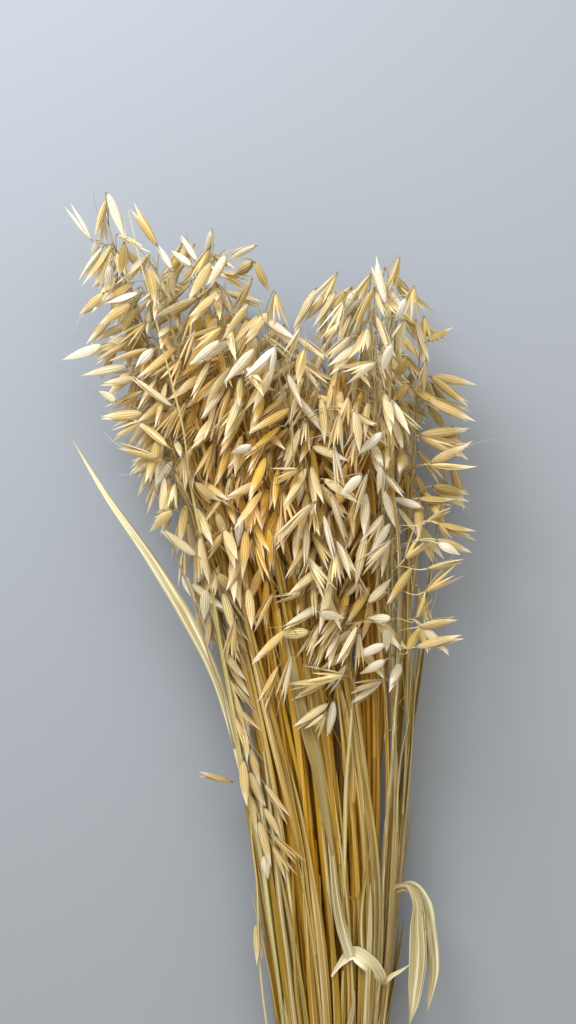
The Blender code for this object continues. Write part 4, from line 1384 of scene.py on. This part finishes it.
# The blades of each leaf, in the order of the solids' leaves. A blade without a line of its own, as
# x, height and z in millimetres, follows its solid. Then its width, its widths, turns and cups from
# foot to tip, how much and how often its edge waves, and its tint.
LEAF_BLADES = (
    ("oat_leaf_left", (
        (None, 0.0060, (0.30, 0.45, 0.70, 0.95, 1.20, 1.15, 0.85, 0.45, 0.04), (0.2, 0.1, 0.3, 0.2),
         (-0.6, 0.3, 0.5, 0.5), 0.0003, 18.0, 0.66),
    )),
    ("oat_leaf_hanging", (
        (((68, 279, 35), (73, 286, 38), (79, 287, 41), (83.6, 280, 42), (84.8, 262, 41), (85.3, 245, 39),
          (84.2, 228, 36), (82.5, 213, 33), (80.7, 204, 31)), 0.0098,
         (0.14, 0.22, 0.50, 0.85, 1.00, 1.05, 0.90, 0.55, 0.05), (0.0, 0.2, -0.2, -0.3, 0.1),
         (0.4, 0.6, 0.4), 0.0008, 14.0, 0.50),
        (((68, 278, 34), (74, 285, 36), (81, 287, 39), (88, 278, 40), (91.4, 262, 39), (93.6, 248, 37),
          (94.3, 236, 35), (92.8, 222, 32), (91.1, 211, 30)), 0.0078,
         (0.14, 0.30, 0.80, 1.00, 1.05, 0.95, 0.75, 0.40, 0.04), (0.0, 0.5, 0.6, 0.3, 0.2),
         (0.3, 0.7, 0.3), 0.0006, 11.0, 0.62),
        (((68, 277, 34), (74, 284, 36), (81, 285, 38.5), (87, 270, 39.5), (89.4, 252, 38),
          (89.0, 234, 35)), 0.0084,
         (0.14, 0.50, 0.90, 1.05, 0.90, 0.10), (0.0, -0.2, -0.3, -0.2),
         (0.3, 0.4, 0.2), 0.0005, 9.0, 0.56),
    )),
    ("oat_leaf_middle", (
        (((38.7, 295, 45.0), (36, 306, 49.5), (33.2, 320.4, 51.2), (29.8, 338.2, 53.2),
          (25.9, 360.5, 55.4), (20.4, 380.6, 57.2), (14, 405, 59), (7, 442, 61.6)), 0.0078,
         (0.10, 0.38, 0.66, 0.86, 1.00, 0.90, 0.60, 0.25, 0.03), (0.1, -0.3, 0.1, 0.4),
         (-0.6, 0.2, 0.4, 0.4), 0.0004, 12.0, 0.05),
    )),
    ("oat_leaf_torn", (
        (None, 0.0085, (0.35, 0.85, 1.10, 1.20, 1.15, 0.75, 0.35, 0.05), (0.0, 0.5, -0.2, 0.2),
         (-0.5, 0.3, 0.3), 0.0008, 9.0, 0.95),
        (((31.5, 329, 50.5), (35.2, 304, 49.4), (37.1, 285, 48.0), (39.3, 271, 47.0), (42.4, 258, 46.0),
          (45.8, 246.5, 44.6)), 0.0066,
         (0.15, 0.45, 0.62, 0.80, 1.00, 0.85), (0.3, -0.1, 0.2), (0.2, 0.5, 0.5), 0.0003, 7.0, 0.22),
        (((66, 229, 37), (70, 234, 39), (75, 237, 39), (80.5, 240.5, 38)), 0.0028,
         (0.5, 1.0, 0.9, 0.6, 0.1), (0.2, 0.6, 0.3), (0.3, 0.3), 0.0002, 5.0, 0.90),
    )),
)
leafy = [(line, width, stalk) for stalk in stalks for line, width in stalk.leaves]
for (_, joint, width, _), (name, blades) in zip(LEAVES, LEAF_BLADES):
    solid, _, stalk = min(
        leafy, key=lambda leaf: abs(height_of(leaf[0][0]) - joint) + abs(leaf[1] - width))
    skin = Skin()
    for line, *ways in blades:
        line = solid if line is None else [place(*(np.array(point) / 1000)) for point in line]
        add_blade(skin, line, *ways)
    settle(skin.piece(name, dry_leaf), "straw", stalk.name)


# The tie
# A band of tan rubber, wound three times round the stems at the foot of the bunch and pulled tight.
# It follows the outer stems, and is finely ribbed where it was cut.

TURNS_OF_BAND = 3
BAND_STEPS = 96
BAND_WIDTH = 0.0026
BAND_SECTION = 10
# How far apart its turns lie, how far they waver, and how square its section is
TURN_GAP, WAVER, SQUARENESS = 0.0002, 0.00018, 0.45


def band_path(stems, distance):
    """The taut line round the stems, that far outside their middles, as x and z."""
    angles = 2 * math.pi * np.arange(BAND_STEPS) / BAND_STEPS
    ways = np.stack((np.cos(angles), np.sin(angles)), -1)
    far = (stems @ ways.T).max(0) + distance
    slope = np.gradient(np.concatenate((far[-2:], far, far[:2])), angles[1] - angles[0])[2:-2]
    return np.stack((
        far * np.cos(angles) - slope * np.sin(angles), far * np.sin(angles) + slope * np.cos(angles)), -1)


def rubber_finish():
    """Tan rubber, dull and a little dusty."""
    finish = Finish("tan rubber", {"Specular IOR Level": 0.35})
    along, around, turn = finish.marks("grain")
    dust = finish.noise(along * 60.0, around * 1.5, turn, 4.0, 0.6)
    grit = finish.noise(along * 300.0, around * 6.0, turn, 2.0)
    colour = finish.blend((0.430, 0.270, 0.120), (0.600, 0.440, 0.240), dust.rise(0.3, 0.7))
    return finish.wear(colour, dust.rise(0.3, 0.7, 0.50, 0.75), grit + dust, 0.00012)


stems = np.array([s.point(TIE_HEIGHT)[[0, 2]] for s in stalks])
path = band_path(stems, BAND_INSIDE + BAND_THICKNESS / 2)
section = 2 * math.pi * (np.arange(BAND_SECTION) + 0.5) / BAND_SECTION
flat = np.sign(np.cos(section)) * np.abs(np.cos(section)) ** SQUARENESS * BAND_WIDTH / 2
thick = np.sign(np.sin(section)) * np.abs(np.sin(section)) ** SQUARENESS * BAND_THICKNESS / 2
skin = Skin()
for turn in range(TURNS_OF_BAND):
    offset = (turn - (TURNS_OF_BAND - 1) / 2) * (BAND_WIDTH + TURN_GAP)
    waver = WAVER * np.sin(np.arange(BAND_STEPS) * 2 * math.pi * (turn + 2) / BAND_STEPS + turn)
    centre = np.stack((path[:, 0], TIE_HEIGHT - BUNCH_LENGTH / 2 + offset + waver, path[:, 1]), -1)
    along = np.roll(centre, -1, axis=0) - np.roll(centre, 1, axis=0)
    out = units(np.cross(along, (0.0, 1.0, 0.0)))
    rings = (
        centre[:, None] + flat[None, :, None] * np.array((0.0, 1.0, 0.0))
        + thick[None, :, None] * out[:, None]
    )
    points = rings.reshape(-1, 3)
    faces = net(BAND_STEPS + 1, BAND_SECTION, True) % len(points)
    grain = np.stack((
        np.repeat(np.arange(BAND_STEPS) * 0.0008, BAND_SECTION), np.tile(np.sin(section), BAND_STEPS),
        np.full(len(points), float(turn))), -1)
    skin.add((points, faces), grain, (0.0, 0.5, 0.0))
settle(skin.piece("rubber_tie", rubber_finish()), "rubber_band", "tie_band")


# The room
# A plain pale table top, a large soft light from above the heads to the left, as from a window, and
# a faint even light from everywhere else. The camera looks straight down, as the photo looks level.

VIEW_HEIGHT = 0.5888
VIEW_MIDDLE = (0.010, 0.1649)
VIEW_ANGLE = math.radians(30)
HEAD_PLANE = 0.045

TABLE_REACH = 4
table_mesh = bpy.data.meshes.new("table")
corners = [(TABLE_REACH * x, TABLE_REACH * y, 0) for x, y in ((-1, -1), (1, -1), (1, 1), (-1, 1))]
table_mesh.from_pydata(corners, [], [(0, 1, 2, 3)])
matt = Finish("matt table", {"Base Color": (0.272, 0.305, 0.358, 1.0), "Roughness": 0.9})
table_mesh.materials.append(matt.material)
put("table", table_mesh)


def soft_light(name, position, aim, size, power, colour):
    light = bpy.data.lights.new(name, "AREA")
    light.shape = "DISK"
    light.size, light.energy, light.color = size, power, colour
    lamp = put(name, light)
    lamp.location = position
    lamp.rotation_euler = (Vector(position) - Vector(aim)).to_track_quat("Z", "Y").to_euler()


soft_light("window", (-0.38, 0.84, 0.66), (0.0, 0.2, 0.05), 0.50, 9.4, (0.970, 0.980, 1.0))
soft_light("fill", (0.05, 0.80, 1.0), (0.0, 0.15, 0.05), 1.00, 5.8, (0.985, 0.980, 0.98))
world = bpy.data.worlds.new("soft room")
world.use_nodes = True
glow = world.node_tree.nodes["Background"].inputs
glow["Color"].default_value, glow["Strength"].default_value = (1.0, 0.920, 0.775, 1.0), 0.85
bpy.context.scene.world = world

camera = bpy.data.cameras.new("camera")
camera.sensor_fit = "VERTICAL"
camera.angle = VIEW_ANGLE
eye = put("camera", camera)
eye.location = (*VIEW_MIDDLE, HEAD_PLANE + VIEW_HEIGHT / 2 / math.tan(VIEW_ANGLE / 2))
bpy.context.scene.camera = eye
bpy.context.scene.view_settings.view_transform = "Standard"
